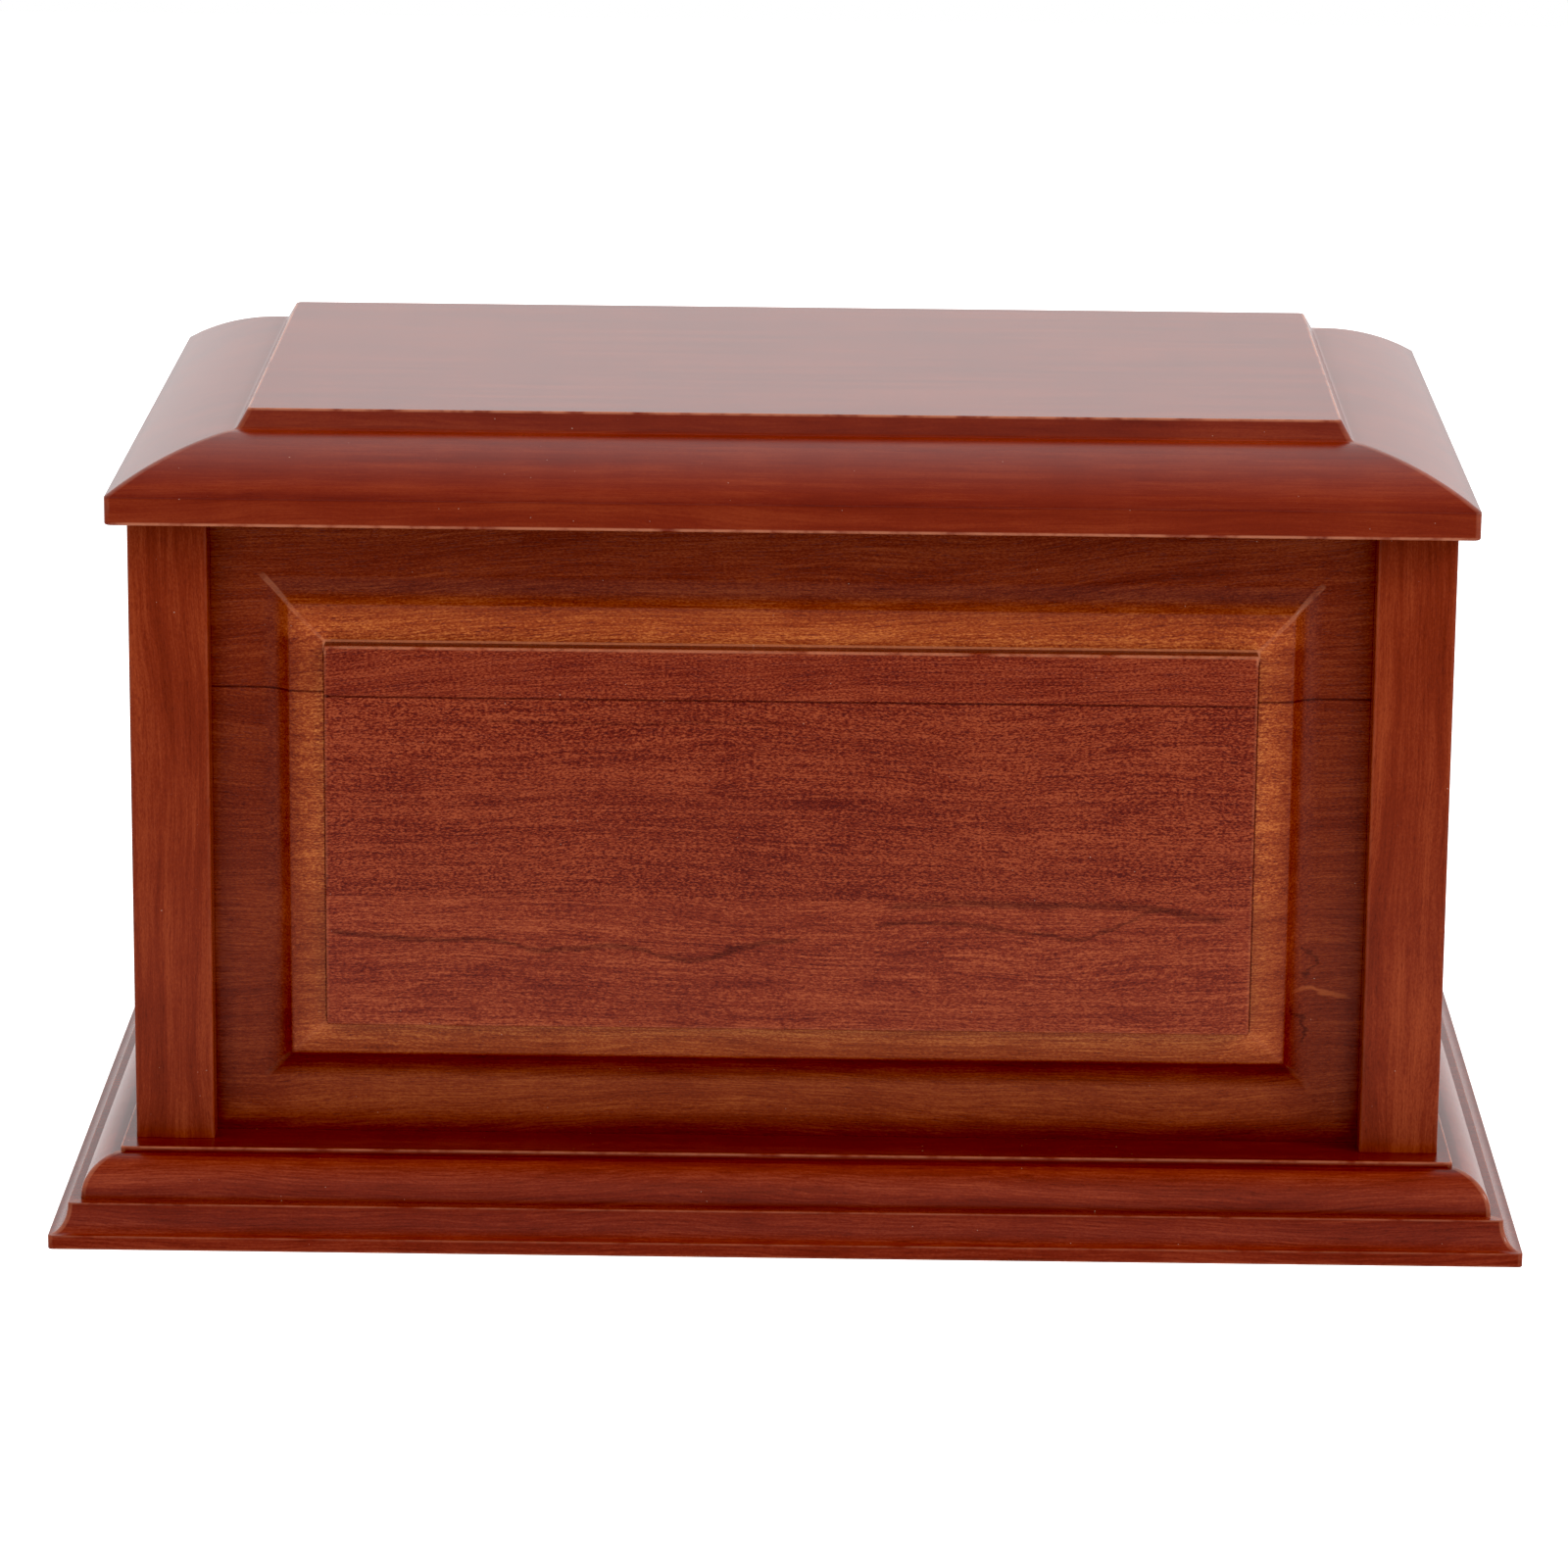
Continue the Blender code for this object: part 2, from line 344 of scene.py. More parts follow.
@dataclass(frozen=True)
class Board:
    """How one of a panel's glued boards differs from its neighbours."""

    foot: float                     # height of its lower edge, in millimetres
    tint: Colour
    speckle: float                  # strength of its flecks
    slant: float                    # how much its grain climbs to the right
    golden: float                   # how much more its stain was wiped off the moulding
    seam: float                     # strength of the line at its lower edge


class Surface:
    """What a finish reads of a surface: its place in millimetres of the urn's frame, and its rubbing."""

    RUBBED = (0.16, 0.16, 0.16)     # features a millimetre of the noise that breaks up the wear, its painted highlight and the painted crease shadow
    BENDING = (0.10, 0.10, 0.22)    # and of the noise that bends what is drawn on a face
    BEND = (14.0, 0.0, 1.6)         # how far that noise moves a place, in millimetres from end to end

    def __init__(self, graph: Graph, seed: float) -> None:
        """Read the place, the open grain and the rubbing.

        Args:
            graph: the graph to add to.
            seed: picks the rubbing's noise.
        """
        self.graph = graph
        self.place = graph.scaled(graph.add("ShaderNodeTexCoord").outputs["Object"], (1.0 / MM,) * 3)
        self.x, self.y, self.z = graph.parts(self.place)
        self.rubbed = graph.noise(graph.scaled(self.place, self.RUBBED), 3.0, 0.65, seed)
        self.open = graph.attribute("open")

    def bent(self) -> bpy.types.NodeSocket:
        """Move the place about slowly, so that what is drawn at it looks grown.

        Returns:
            The bent place in millimetres.
        """
        inputs = {"Vector": self.graph.scaled(self.place, self.BENDING), "Scale": 1.0, "Detail": 2.0}
        noise = self.graph.add("ShaderNodeTexNoise", {"noise_dimensions": "3D"}, inputs)
        moved = self.graph.vector_math("MULTIPLY_ADD", noise.outputs["Color"], self.BEND, self.place)
        middle = tuple(reach / 2 for reach in self.BEND)
        return self.graph.vector_math("SUBTRACT", moved.outputs[0], middle).outputs[0]


@dataclass(frozen=True)
class StainedWood:
    """Hardwood under a red-brown stain and clear lacquer.

    The grain is worked out in millimetres of the urn's own frame, so it runs through a piece
    and shows as long grain on its sides and as end grain on its ends.
    """

    name: str
    grain: Grain
    seed: float
    dark: Colour
    middle: Colour
    light: Colour
    roughness: float = 0.25
    gloss: float = 0.5              # strength of the lacquer's reflections
    streak: float = 0.26            # strength of the broad streaks
    fibre: float = 0.62             # strength of the fine fibres
    fleck: float = 0.68             # strength of the small flecks
    figure: float = 0.12            # strength of the cloudy figure across the grain
    pore: float = 0.16              # strength of the dark pore dashes
    relief: float = 0.3             # height of the open grain, from none at 0 to bare wood at 1
    waves: float = 0.030            # height of the lacquer's slow waves, in millimetres
    # Colour of the worn arrises, which also stands as a painted highlight along them.
    worn_and_highlight: Colour = (0.62, 0.22, 0.11)
    golden: float = 1.0             # how much the stain was wiped off the moulding
    low_wear_and_highlight: float = 1.0           # wear and painted highlight of the arrises below the top of the panel's field
    top_painted_light: float = 0.0          # painted light on the ring above the panel's field, where it faces up
    foot_painted_light: float = 0.0         # painted light on the low border below it
    boards: tuple[Board, ...] = ()
    spots: tuple[Spot, ...] = ()
    strokes: tuple[Stroke, ...] = ()

    # Features a millimetre of each noise: along the grain, across it and into the board.
    STREAKS = (0.014, 0.26, 0.26)
    FIBRES = (0.07, 2.7, 2.7)
    CLOUDS = (0.075, 0.028, 0.028)
    FLECKS = (1.50, 4.4, 4.4)
    PORES = (0.40, 3.4, 3.4)
    DRIFT = (0.012, 0.03, 0.03)
    WOBBLE = (0.045, 0.16, 0.16)
    SPECKS = (2.2, 2.2, 2.2)
    WAVES = (0.035, 0.035, 0.035)

    SWING = 3.0                     # brings a noise's usual swing up to about one
    MIDDLE_TONE = 0.52
    DRIFT_REACH = 12.0              # how far the grain's lines drift and wobble, in millimetres
    WOBBLE_REACH = 2.2
    BOARD_SHIFT = (317.0, 89.0)     # where the next board's wood is read: along the grain and into it
    SHIFT_STEP = (41.0, 23.0)

    # Heights in millimetres of the urn's frame.
    LOW_BORDER = (18.0, 25.0, 38.0, 39.8)
    BORDER_REACH = (100.0, 86.0)    # how far from the middle the low border's painted light ends
    # Where the painted shade in hollows thins out going up.
    SHADE_THINS = (34.0, 60.0)
    FIELD_TOP = (112.0, 113.0)
    # Where the painted shade in hollows fades out over the top ring.
    SHADE_ENDS = (112.0, 118.0)
    RING_TOP = (114.0, 116.0)

    OPEN_TINT = (1.10, 1.20, 2.0, 1.0)
    SEAM_TINT = (0.30, 0.16, 0.16, 1.0)
    WIPED_TINT = (2.50, 4.20, 3.6, 1.0)
    # Painted shade in hollows and crevices, and a painted shadow along the step's crease.
    SHADE_TINT = (0.50, 0.18, 0.15, 1.0)
    CREASE_SHADOW_TINT = (0.22, 0.10, 0.10, 1.0)
    SPECK_COLOUR = (0.75, 0.55, 0.42, 1.0)
    # How much of the worn colour, with its painted highlight, shows on an arris.
    WORN_AND_HIGHLIGHT_SHARE = 0.60
    SPECK_SHARE = 0.5

    def lay_boards(self, surface: Surface) -> tuple[bpy.types.NodeSocket, list[Value], Value | float]:
        """Give each glued board its own wood, with lines that drift and wobble.

        Args:
            surface: the surface to finish.

        Returns:
            The grain's coordinates in millimetres, where each board is, and how strongly its flecks show.
        """
        graph = surface.graph
        sides = (surface.x, surface.y, surface.z)
        start, across, deep = (sides[axis] for axis in self.grain.value)
        along = start
        flecks: Value | float = self.fleck
        places = []
        for number, board in enumerate(self.boards):
            above = surface.z.math("GREATER_THAN", board.foot)
            along = along + above * (self.BOARD_SHIFT[0] + self.SHIFT_STEP[0] * number)
            deep = deep + above * (self.BOARD_SHIFT[1] + self.SHIFT_STEP[1] * number)
            across = across - start * above * board.slant
            flecks = flecks + above * board.speckle
            places.append(above)
        lines = graph.vector(along, across, deep)
        drift = graph.noise(graph.scaled(lines, self.DRIFT), 1.0, 0.5, self.seed)
        wobble = graph.noise(graph.scaled(lines, self.WOBBLE), 2.0, 0.5, self.seed + 9.0)
        across = across + (drift - 0.5) * self.DRIFT_REACH + (wobble - 0.5) * self.WOBBLE_REACH
        return graph.vector(along, across, deep), places, flecks

    def tone(self, surface: Surface, lines: bpy.types.NodeSocket,
             flecks: Value | float) -> tuple[Value, Value, Value]:
        """Lay streaks, fibres, flecks, figure and pores over one another.

        Args:
            surface: the surface to finish.
            lines: the grain's coordinates in millimetres.
            flecks: how strongly the flecks show on open grain.

        Returns:
            How light the wood is, from 0 to 1, its fibres and its pores.
        """
        graph = surface.graph
        streaks = graph.noise(graph.scaled(lines, self.STREAKS), 4.0, 0.62, self.seed + 1.0)
        fibres = graph.noise(graph.scaled(lines, self.FIBRES), 3.0, 0.70, self.seed + 2.0)
        clouds = graph.noise(graph.scaled(lines, self.CLOUDS), 3.0, 0.55, self.seed + 3.0)
        grit = graph.noise(graph.scaled(lines, self.FLECKS), 1.0, 0.75, self.seed + 7.0)
        pores = graph.noise(graph.scaled(lines, self.PORES), 1.0, 0.5, self.seed + 4.0).ramp(0.56, 0.70)
        strands = (surface.open * 0.35 + 0.65) * self.fibre
        flecks = flecks * (surface.open * 0.6 + 0.4)
        swing = ((streaks - 0.5) * self.streak + (fibres - 0.5) * strands
                 + (clouds - 0.5) * self.figure + (grit - 0.5) * flecks)
        return swing * self.SWING - pores * self.pore + self.MIDDLE_TONE, fibres, pores

    def draw_spots(self, surface: Surface, flat: bpy.types.NodeSocket, tone: Value) -> Value:
        """Lighten and darken the wood in soft patches.

        Args:
            surface: the surface to finish.
            flat: where the patches are drawn, in millimetres.
            tone: how light the wood is.

        Returns:
            How light the wood is with its patches.
        """
        graph = surface.graph
        for spot in self.spots:
            away = graph.vector_math("SUBTRACT", flat, (spot.x, 0.0, spot.z)).outputs[0]
            shrunk = graph.scaled(away, (1.0 / spot.width, 0.0, 1.0 / spot.height))
            far = Value(graph, graph.vector_math("LENGTH", shrunk).outputs["Value"])
            tone = tone + far.ramp(0.25, 1.0, spot.strength, 0.0)
        return tone

    def draw_strokes(self, surface: Surface, flat: bpy.types.NodeSocket,
                     colour: bpy.types.NodeSocket) -> bpy.types.NodeSocket:
        """Draw the wavy lines on the front face.

        Args:
            surface: the surface to finish.
            flat: where the lines are drawn, in millimetres.
            colour: the wood's colour.

        Returns:
            The colour with its lines.
        """
        graph = surface.graph
        x, _, z = graph.parts(flat)
        front = surface.y.math("LESS_THAN", 0.0)
        for stroke in self.strokes:
            run, level = (z, x) if stroke.upright else (x, z)
            off = (level - graph.curve(run, stroke.points)).math("ABSOLUTE")
            fade = 3.0 * stroke.width
            first, last = stroke.points[0][0], stroke.points[-1][0]
            ends = (first - 0.3 * fade, first + fade, last - fade, last + 0.3 * fade)
            shown = off.ramp(stroke.width * 0.2, stroke.width, stroke.strength, 0.0) * run.band(ends)
            weight = (shown * front * (surface.rubbed * 1.2 + 0.4)).clamped()
            colour = graph.mix(weight, colour, (*stroke.colour, 1.0), stroke.blend)
        return colour

    def stain(self, surface: Surface, tone: Value,
              places: list[Value]) -> tuple[bpy.types.NodeSocket, Value | float]:
        """Colour the wood by how light it is, board by board, with its glue seams.

        Args:
            surface: the surface to finish.
            tone: how light the wood is.
            places: where each board is.

        Returns:
            The colour, and how much the stain was wiped off the moulding.
        """
        graph = surface.graph
        colour = graph.colour_ramp(tone, [(0.0, self.dark), (0.50, self.middle), (1.0, self.light)])
        colour = graph.mix(surface.open, colour, self.OPEN_TINT, "MULTIPLY")
        golden: Value | float = self.golden
        for above, board in zip(places, self.boards):
            colour = graph.mix(above, colour, (*board.tint, 1.0), "MULTIPLY")
            golden = golden + above * board.golden
            if board.seam:
                line = (surface.z - board.foot).math("ABSOLUTE").ramp(0.10, 0.32, board.seam, 0.0)
                colour = graph.mix(line, colour, self.SEAM_TINT, "MULTIPLY")
        return colour, golden

    def wear_and_painted_light(self, surface: Surface, colour: bpy.types.NodeSocket,
             golden: Value | float) -> bpy.types.NodeSocket:
        """Wipe the stain off, wear the arrises with a painted highlight, paint shade into hollows, crevices
        and the step's crease, and paint light onto the top ring and the low border, where the mesh says so.

        Args:
            surface: the surface to finish.
            colour: the wood's colour.
            golden: how much the stain was wiped off the moulding.

        Returns:
            The colour with its wear, painted light and painted shade.
        """
        graph, z, rubbed = surface.graph, surface.z, surface.rubbed
        arris, pocket, wiped, crease, shade = (
            graph.attribute(name) for name in ("arris", "pocket", "wiped", "crease", "shade"))
        # Painted light: the ring above the field is lightened where it faces up.
        painted_top_light = z.ramp(*self.RING_TOP) * surface.open.ramp(0.05, 0.15) * self.top_painted_light
        # Painted light: the low border under the field is lightened, except in its hollow.
        painted_low_light = (z.band(self.LOW_BORDER) * surface.x.math("ABSOLUTE").ramp(*self.BORDER_REACH)
                      * (1.0 - pocket * 0.9) * self.foot_painted_light)
        # Wiped stain and the painted light lighten the colour together.
        wiped = wiped * golden * rubbed.ramp(0.20, 0.60, 0.75, 1.0) + painted_top_light + painted_low_light
        colour = graph.mix(wiped.clamped(), colour, self.WIPED_TINT, "MULTIPLY")
        # Painted shade in hollows: strongest low down, thinner higher up, fading over the top ring; painted
        # shade in crevices stays full.
        pocket = pocket * z.ramp(*self.SHADE_THINS, 1.0, 0.32) * z.ramp(*self.SHADE_ENDS, 1.0, 0.15)
        colour = graph.mix(pocket.over(shade), colour, self.SHADE_TINT, "MULTIPLY")
        top = z.ramp(*self.FIELD_TOP)
        # A painted shadow line along the foot of the field's step, left out along the top.
        painted_crease_shadow = crease * (1.0 - top) * rubbed.ramp(0.15, 0.45)
        colour = graph.mix(painted_crease_shadow, colour, self.CREASE_SHADOW_TINT, "MULTIPLY")
        # Worn arrises carry a painted highlight too, strongest above the field's top, with a pale line along
        # the top crease.
        arris = arris * rubbed.ramp(0.30, 0.58) * z.ramp(*self.FIELD_TOP, self.low_wear_and_highlight, 1.0)
        colour = graph.mix(arris.over(crease * top) * self.WORN_AND_HIGHLIGHT_SHARE, colour, (*self.worn_and_highlight, 1.0))
        specks = graph.noise(graph.scaled(surface.place, self.SPECKS), 0.0, 0.5, self.seed + 6.0)
        return graph.mix(specks.ramp(0.875, 0.90) * self.SPECK_SHARE, colour, self.SPECK_COLOUR)

    def lacquer(self, surface: Surface, fibres: Value, pores: Value) -> tuple[Value, bpy.types.NodeSocket]:
        """Let the open grain and slow waves show through the lacquer.

        Args:
            surface: the surface to finish.
            fibres: the wood's fibres.
            pores: the wood's pores.

        Returns:
            The roughness, and the bumped normal.
        """
        graph = surface.graph
        dull = (fibres - 0.5) * 0.10 + (surface.rubbed - 0.5) * 0.08 + pores * 0.08
        waves = graph.noise(graph.scaled(surface.place, self.WAVES), 1.0, 0.4, self.seed + 10.0)
        height = (fibres * 0.010 - pores * 0.022) * self.relief + waves * self.waves
        bump = graph.add("ShaderNodeBump", None, {"Strength": 1.0, "Distance": MM, "Height": height})
        return dull * self.relief + self.roughness, bump.outputs[0]

    def make(self) -> bpy.types.Material:
        """Build the finish.

        Returns:
            The material.
        """
        material, graph = Graph.of_material(self.name)
        surface = Surface(graph, self.seed + 5.0)
        lines, places, flecks = self.lay_boards(surface)
        tone, fibres, pores = self.tone(surface, lines, flecks)
        flat = surface.bent() if self.spots or self.strokes else surface.place
        tone = self.draw_spots(surface, flat, tone).clamped()
        colour, golden = self.stain(surface, tone, places)
        colour = self.wear_and_painted_light(surface, self.draw_strokes(surface, flat, colour), golden)
        roughness, normal = self.lacquer(surface, fibres, pores)
        graph.shade({"Base Color": colour, "Roughness": roughness, "Normal": normal,
                     "IOR": 1.5, "Specular IOR Level": self.gloss})
        return material


@dataclass(frozen=True)
class Plan:
    """A rectangle seen from above."""

    left: float
    right: float
    front: float
    back: float

    def inset(self, amount: float) -> "Plan":
        """The rectangle drawn in by an amount on all four sides."""
        return Plan(self.left + amount, self.right - amount, self.front + amount, self.back - amount)


@dataclass(frozen=True)
class Mark:
    """One point of a moulding's section, with how its stain, wear, painted highlight and painted shade
    differ there.
    """

    inset: float
    height: float
    arris: float = 0.0              # worn edge, which also carries a painted highlight
    pocket: float = 0.0             # painted shade in a hollow
    wiped: float = 0.0              # stain wiped off
    crease: float = 0.0             # line along the foot of an upright step: a painted shadow below the field's top, a pale line above it
    shade: float = 0.0              # painted shade in a crevice, full at any height
    open: float = 0.0               # open, flecked grain

    def raised(self, amount: float) -> "Mark":
        """This point, moved up by an amount."""
        return replace(self, height=self.height + amount)


@dataclass(frozen=True)
class Ring:
    """One level of a moulded piece: a rectangle with rounded corners."""

    plan: Plan
    corner: float
    mark: Mark
    corner_arris: float = 0.0


class Moulder:
    """Makes the sections and the closed meshes of moulded pieces."""

    CORNER_STEPS = 6
    SHOULDER = 0.25 * MM            # how far wear, painted highlight and painted shade spread beside an edge
    SHARP = math.radians(38.0)
    FAR = 10 * MM                   # a point far along a flat face, where a corner's side may start
    # Attributes for wiped stain, open grain and wear, and for painted highlight and painted shade.
    WEAR_AND_PAINTED_LIGHT = ("arris", "pocket", "wiped", "crease", "shade", "open")

    @staticmethod
    def quarter(centre: Point, radii: Point, start: float, end: float, steps: int = 20) -> list[Mark]:
        """Points of part of an ellipse.

        Args:
            centre: the ellipse's centre.
            radii: its two radii.
            start: the first angle, in degrees.
            end: the last angle, in degrees.
            steps: how many steps the stretch is cut into.

        Returns:
            The points in order.
        """
        marks = []
        for step in range(steps + 1):
            angle = math.radians(start + (end - start) * step / steps)
            marks.append(Mark(centre[0] + radii[0] * math.cos(angle),
                              centre[1] + radii[1] * math.sin(angle)))
        return marks

    @classmethod
    def eased(cls, before: Point, corner: Point, after: Point, radius: float, arris: float = 0.0,
              pocket: float = 0.0, steps: int = 5) -> list[Mark]:
        """Points that round a corner, with a shoulder on each side where its wear, painted highlight and
        painted shade end.

        Args:
            before: the section's point before the corner.
            corner: the corner itself.
            after: the section's point after the corner.
            radius: the rounding's radius, cut down where the sides are short.
            arris: how worn the corner is, with its painted highlight, from 0 to 1.
            pocket: how dark the corner's painted shade is, from 0 to 1.
            steps: how many steps the rounding is cut into.

        Returns:
            The points in order.
        """
        to_before = Vector((before[0] - corner[0], before[1] - corner[1]))
        to_after = Vector((after[0] - corner[0], after[1] - corner[1]))
        half_angle = 0.5 * to_before.angle(to_after)
        tangent = min(radius / math.tan(half_angle), 0.45 * to_before.length, 0.45 * to_after.length)
        arc_radius = tangent * math.tan(half_angle)
        unit_before = to_before.normalized()
        unit_after = to_after.normalized()
        origin = Vector(corner)
        centre = origin + (unit_before + unit_after).normalized() * (arc_radius / math.sin(half_angle))
        first = origin + unit_before * tangent - centre
        last = origin + unit_after * tangent - centre
        start = math.atan2(first.y, first.x)
        turn = (math.atan2(last.y, last.x) - start + math.pi) % (2 * math.pi) - math.pi
        marks = []
        shoulder = origin + unit_before * min(tangent + cls.SHOULDER, 0.8 * to_before.length)
        marks.append(Mark(shoulder.x, shoulder.y))
        for step in range(steps + 1):
            angle = start + turn * step / steps
            x = centre.x + arc_radius * math.cos(angle)
            y = centre.y + arc_radius * math.sin(angle)
            marks.append(Mark(x, y, arris, pocket))
        shoulder = origin + unit_after * min(tangent + cls.SHOULDER, 0.8 * to_after.length)
        marks.append(Mark(shoulder.x, shoulder.y))
        return marks

    @classmethod
    def loop(cls, ring: Ring) -> list[tuple[Vector, bool]]:
        """The points of one ring, anticlockwise seen from above.

        Args:
            ring: the ring to draw.

        Returns:
            Each point, and whether it is on a rounded corner.
        """
        plan = ring.plan
        corners = [(plan.right, plan.front, -90.0), (plan.right, plan.back, 0.0),
                   (plan.left, plan.back, 90.0), (plan.left, plan.front, 180.0)]
        points = []
        for x, y, start in corners:
            inward_x = -1.0 if x == plan.right else 1.0
            inward_y = -1.0 if y == plan.back else 1.0
            centre = Vector((x + inward_x * ring.corner, y + inward_y * ring.corner, ring.mark.height))
            arc = []
            for step in range(cls.CORNER_STEPS + 1):
                angle = math.radians(start + 90.0 * step / cls.CORNER_STEPS)
                arc.append((centre + Vector((math.cos(angle), math.sin(angle), 0.0)) * ring.corner, True))
            first = math.radians(start)
            last = math.radians(start + 90.0)
            before = Vector((math.sin(first), -math.cos(first), 0.0)) * cls.SHOULDER
            after = Vector((-math.sin(last), math.cos(last), 0.0)) * cls.SHOULDER
            points.append((arc[0][0] + before, False))
            points += arc
            points.append((arc[-1][0] + after, False))
        return points

    @classmethod
    def loft(cls, name: str, rings: list[Ring], turn: Matrix | None = None) -> bpy.types.Object:
        """Make a closed piece through nested rings, lowest first, with flat ends.

        Args:
            name: the piece's name.
            rings: the levels in order.
            turn: where the finished mesh goes, if it isn't modelled in place.

        Returns:
            The piece, smooth but for its true edges.
        """
        loops = [cls.loop(ring) for ring in rings]
        count = len(loops[0])
        points = [point for loop in loops for point, _ in loop]
        faces = [tuple(reversed(range(count)))]
        for level in range(len(loops) - 1):
            low = level * count
            for side in range(count):
                after = (side + 1) % count
                faces.append((low + side, low + after, low + count + after, low + count + side))
        faces.append(tuple(range(len(points) - count, len(points))))
        mesh = bpy.data.meshes.new(name)
        mesh.from_pydata(points, [], faces)
        for label in cls.WEAR_AND_PAINTED_LIGHT:
            values = []
            for ring, loop in zip(rings, loops):
                value = getattr(ring.mark, label)
                inner = label == "arris" and ring is not rings[0] and ring is not rings[-1]
                corner = max(value, ring.corner_arris) if inner else value
                values += [corner if rounded else value for _, rounded in loop]
            mesh.attributes.new(label, "FLOAT", "POINT").data.foreach_set("value", values)
        if turn is not None:
            mesh.transform(turn)
        mesh.shade_smooth()
        mesh.set_sharp_from_angle(angle=cls.SHARP)
        piece = bpy.data.objects.new(name, mesh)
        bpy.context.scene.collection.objects.link(piece)
        weighting = piece.modifiers.new("flat faces lead", "WEIGHTED_NORMAL")
        weighting.keep_sharp = True
        weighting.weight = 100
        return piece


def box_plan(node: str) -> tuple[Plan, float, float]:
    """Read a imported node's place.

    Args:
        node: the node's name.

    Returns:
        Its rectangle from above, its lowest height and its highest.
    """
    low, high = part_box(node)
    return Plan(low[0], high[0], low[1], high[1]), low[2], high[2]


def cavity_plan() -> Plan:
    """Find the rectangle between the inner faces of the corner posts.

    Returns:
        The rectangle seen from above.
    """
    front_left, _, _ = box_plan("post_front_left")
    back_right, _, _ = box_plan("post_back_right")
    return Plan(front_left.right, back_right.left, front_left.back, back_right.front)


def settle(piece: bpy.types.Object, node: str, finish: bpy.types.Material) -> None:
    """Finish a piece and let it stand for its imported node.

    Args:
        piece: the new piece.
        node: the node that it replaces.
        finish: its material.
    """
    piece.data.materials.append(finish)
    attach(piece, BODY)
    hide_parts(node)
    log.info("%s: %d faces, stands for %s", piece.name, len(piece.data.polygons), node)


@dataclass
class BaseBoard:
    """The board under the box, moulded on all four edges."""

    foot_height: float = 2.75 * MM
    foot_arris: float = 0.5 * MM
    foot_ledge: float = 0.4 * MM
    hollow_width: float = 3.1 * MM
    hollow_height: float = 5.4 * MM
    hollow_ledge: float = 2.25 * MM
    riser_height: float = 0.55 * MM
    ovolo_radius: float = 6.95 * MM
    ledge_arris: float = 0.25 * MM
    corner: float = 0.8 * MM        # rounding of the corners seen from above
    # How worn the plan corners are, with a painted highlight on them.
    corner_wear_and_highlight: float = 0.4

    def section(self, top: float) -> list[Mark]:
        """Draw the edge from the floor up.

        Args:
            top: height of the board's top face.

        Returns:
            The section's points, with insets from the foot's face.
        """
        hollow_foot = self.foot_ledge
        hollow_top = hollow_foot + self.hollow_width
        riser = hollow_top + self.hollow_ledge
        step = riser + self.ovolo_radius
        hollow_height = self.foot_height + self.hollow_height
        ovolo_height = hollow_height + self.riser_height
        step_height = ovolo_height + self.ovolo_radius
        hollow = Moulder.quarter((hollow_foot, hollow_height), (self.hollow_width, self.hollow_height),
                                 270, 360)
        ovolo = Moulder.quarter((step, ovolo_height), (self.ovolo_radius, self.ovolo_radius), 180, 90)
        before_edge = (hollow[-2].inset, hollow[-2].height)
        eased = Moulder.eased
        foot_top = (0.0, self.foot_height)
        # The arris values wear the edges in the worn colour, which also stands as a painted highlight.
        marks = eased((Moulder.FAR, 0.0), (0.0, 0.0), foot_top, self.ledge_arris, arris=0.4)
        marks += eased((0.0, 0.0), foot_top, (hollow_foot, self.foot_height), self.foot_arris, arris=0.25)
        marks += hollow[:-2]
        marks += eased(before_edge, (hollow_top, hollow_height), (riser, hollow_height), self.ledge_arris,
                       arris=0.35)
        # Painted shade at the foot and the top of the riser.
        marks.append(Mark(riser, hollow_height, pocket=0.3))
        marks.append(Mark(riser, ovolo_height, pocket=0.2))
        # The ovolo is a little wiped over its middle, and has painted shade under the step.
        marks += ovolo[1:4]
        marks += [replace(mark, wiped=0.10) for mark in ovolo[4:-6]]
        marks += ovolo[-6:-4]
        marks += [replace(mark, pocket=0.8) for mark in ovolo[-4:-1]]
        marks.append(Mark(step, step_height, pocket=1.0))
        marks += eased((step, step_height), (step, top), (step + Moulder.FAR, top), self.ledge_arris,
                       arris=0.55)
        # Painted shade over the board's top face.
        marks[-1] = replace(marks[-1], shade=0.65)
        return marks

    def build(self) -> None:
        """Make and finish the board."""
        plan, low, high = box_plan("base")
        rings = [Ring(plan.inset(mark.inset), self.corner, mark.raised(low), self.corner_wear_and_highlight)
                 for mark in self.section(high - low)]
        finish = StainedWood("base wood", Grain.LEFT_TO_RIGHT, seed=11.0, dark=(0.078, 0.006, 0.002),
                             middle=(0.162, 0.0135, 0.004), light=(0.280, 0.039, 0.012), roughness=0.24,
                             gloss=0.38, fleck=0.45)
        settle(Moulder.loft("urn_base", rings), "base", finish.make())


@dataclass
class CornerPost:
    """One square corner post, with its long edges eased."""

    end: str
    side: str
    seed: float
    arris: float = 0.45 * MM
    # How worn the long edges are, with a painted highlight on them.
    corner_wear_and_highlight: float = 0.08
    fit: float = 0.27 * MM          # how much longer than its node, to close the joints

    def build(self) -> None:
        """Make and finish the post."""
        node = f"post_{self.end}_{self.side}"
        plan, low, high = box_plan(node)
        levels = (low - self.fit, low, high, high + self.fit)
        rings = [Ring(plan, self.arris, Mark(0.0, level), self.corner_wear_and_highlight) for level in levels]
        finish = StainedWood(f"{self.end} {self.side} post wood", Grain.UPRIGHT, self.seed,
                             dark=(0.080, 0.008, 0.003), middle=(0.188, 0.021, 0.006),
                             light=(0.34, 0.058, 0.016), roughness=0.24, gloss=0.26, streak=0.42,
                             fibre=0.32, fleck=0.40, pore=0.15)
        settle(Moulder.loft(f"urn_{node}", rings), node, finish.make())


class Facing(Enum):
    """Which way a panel faces, as its turn about the upright axis in degrees."""

    FRONT = 0.0
    RIGHT = 90.0
    BACK = 180.0
    LEFT = -90.0


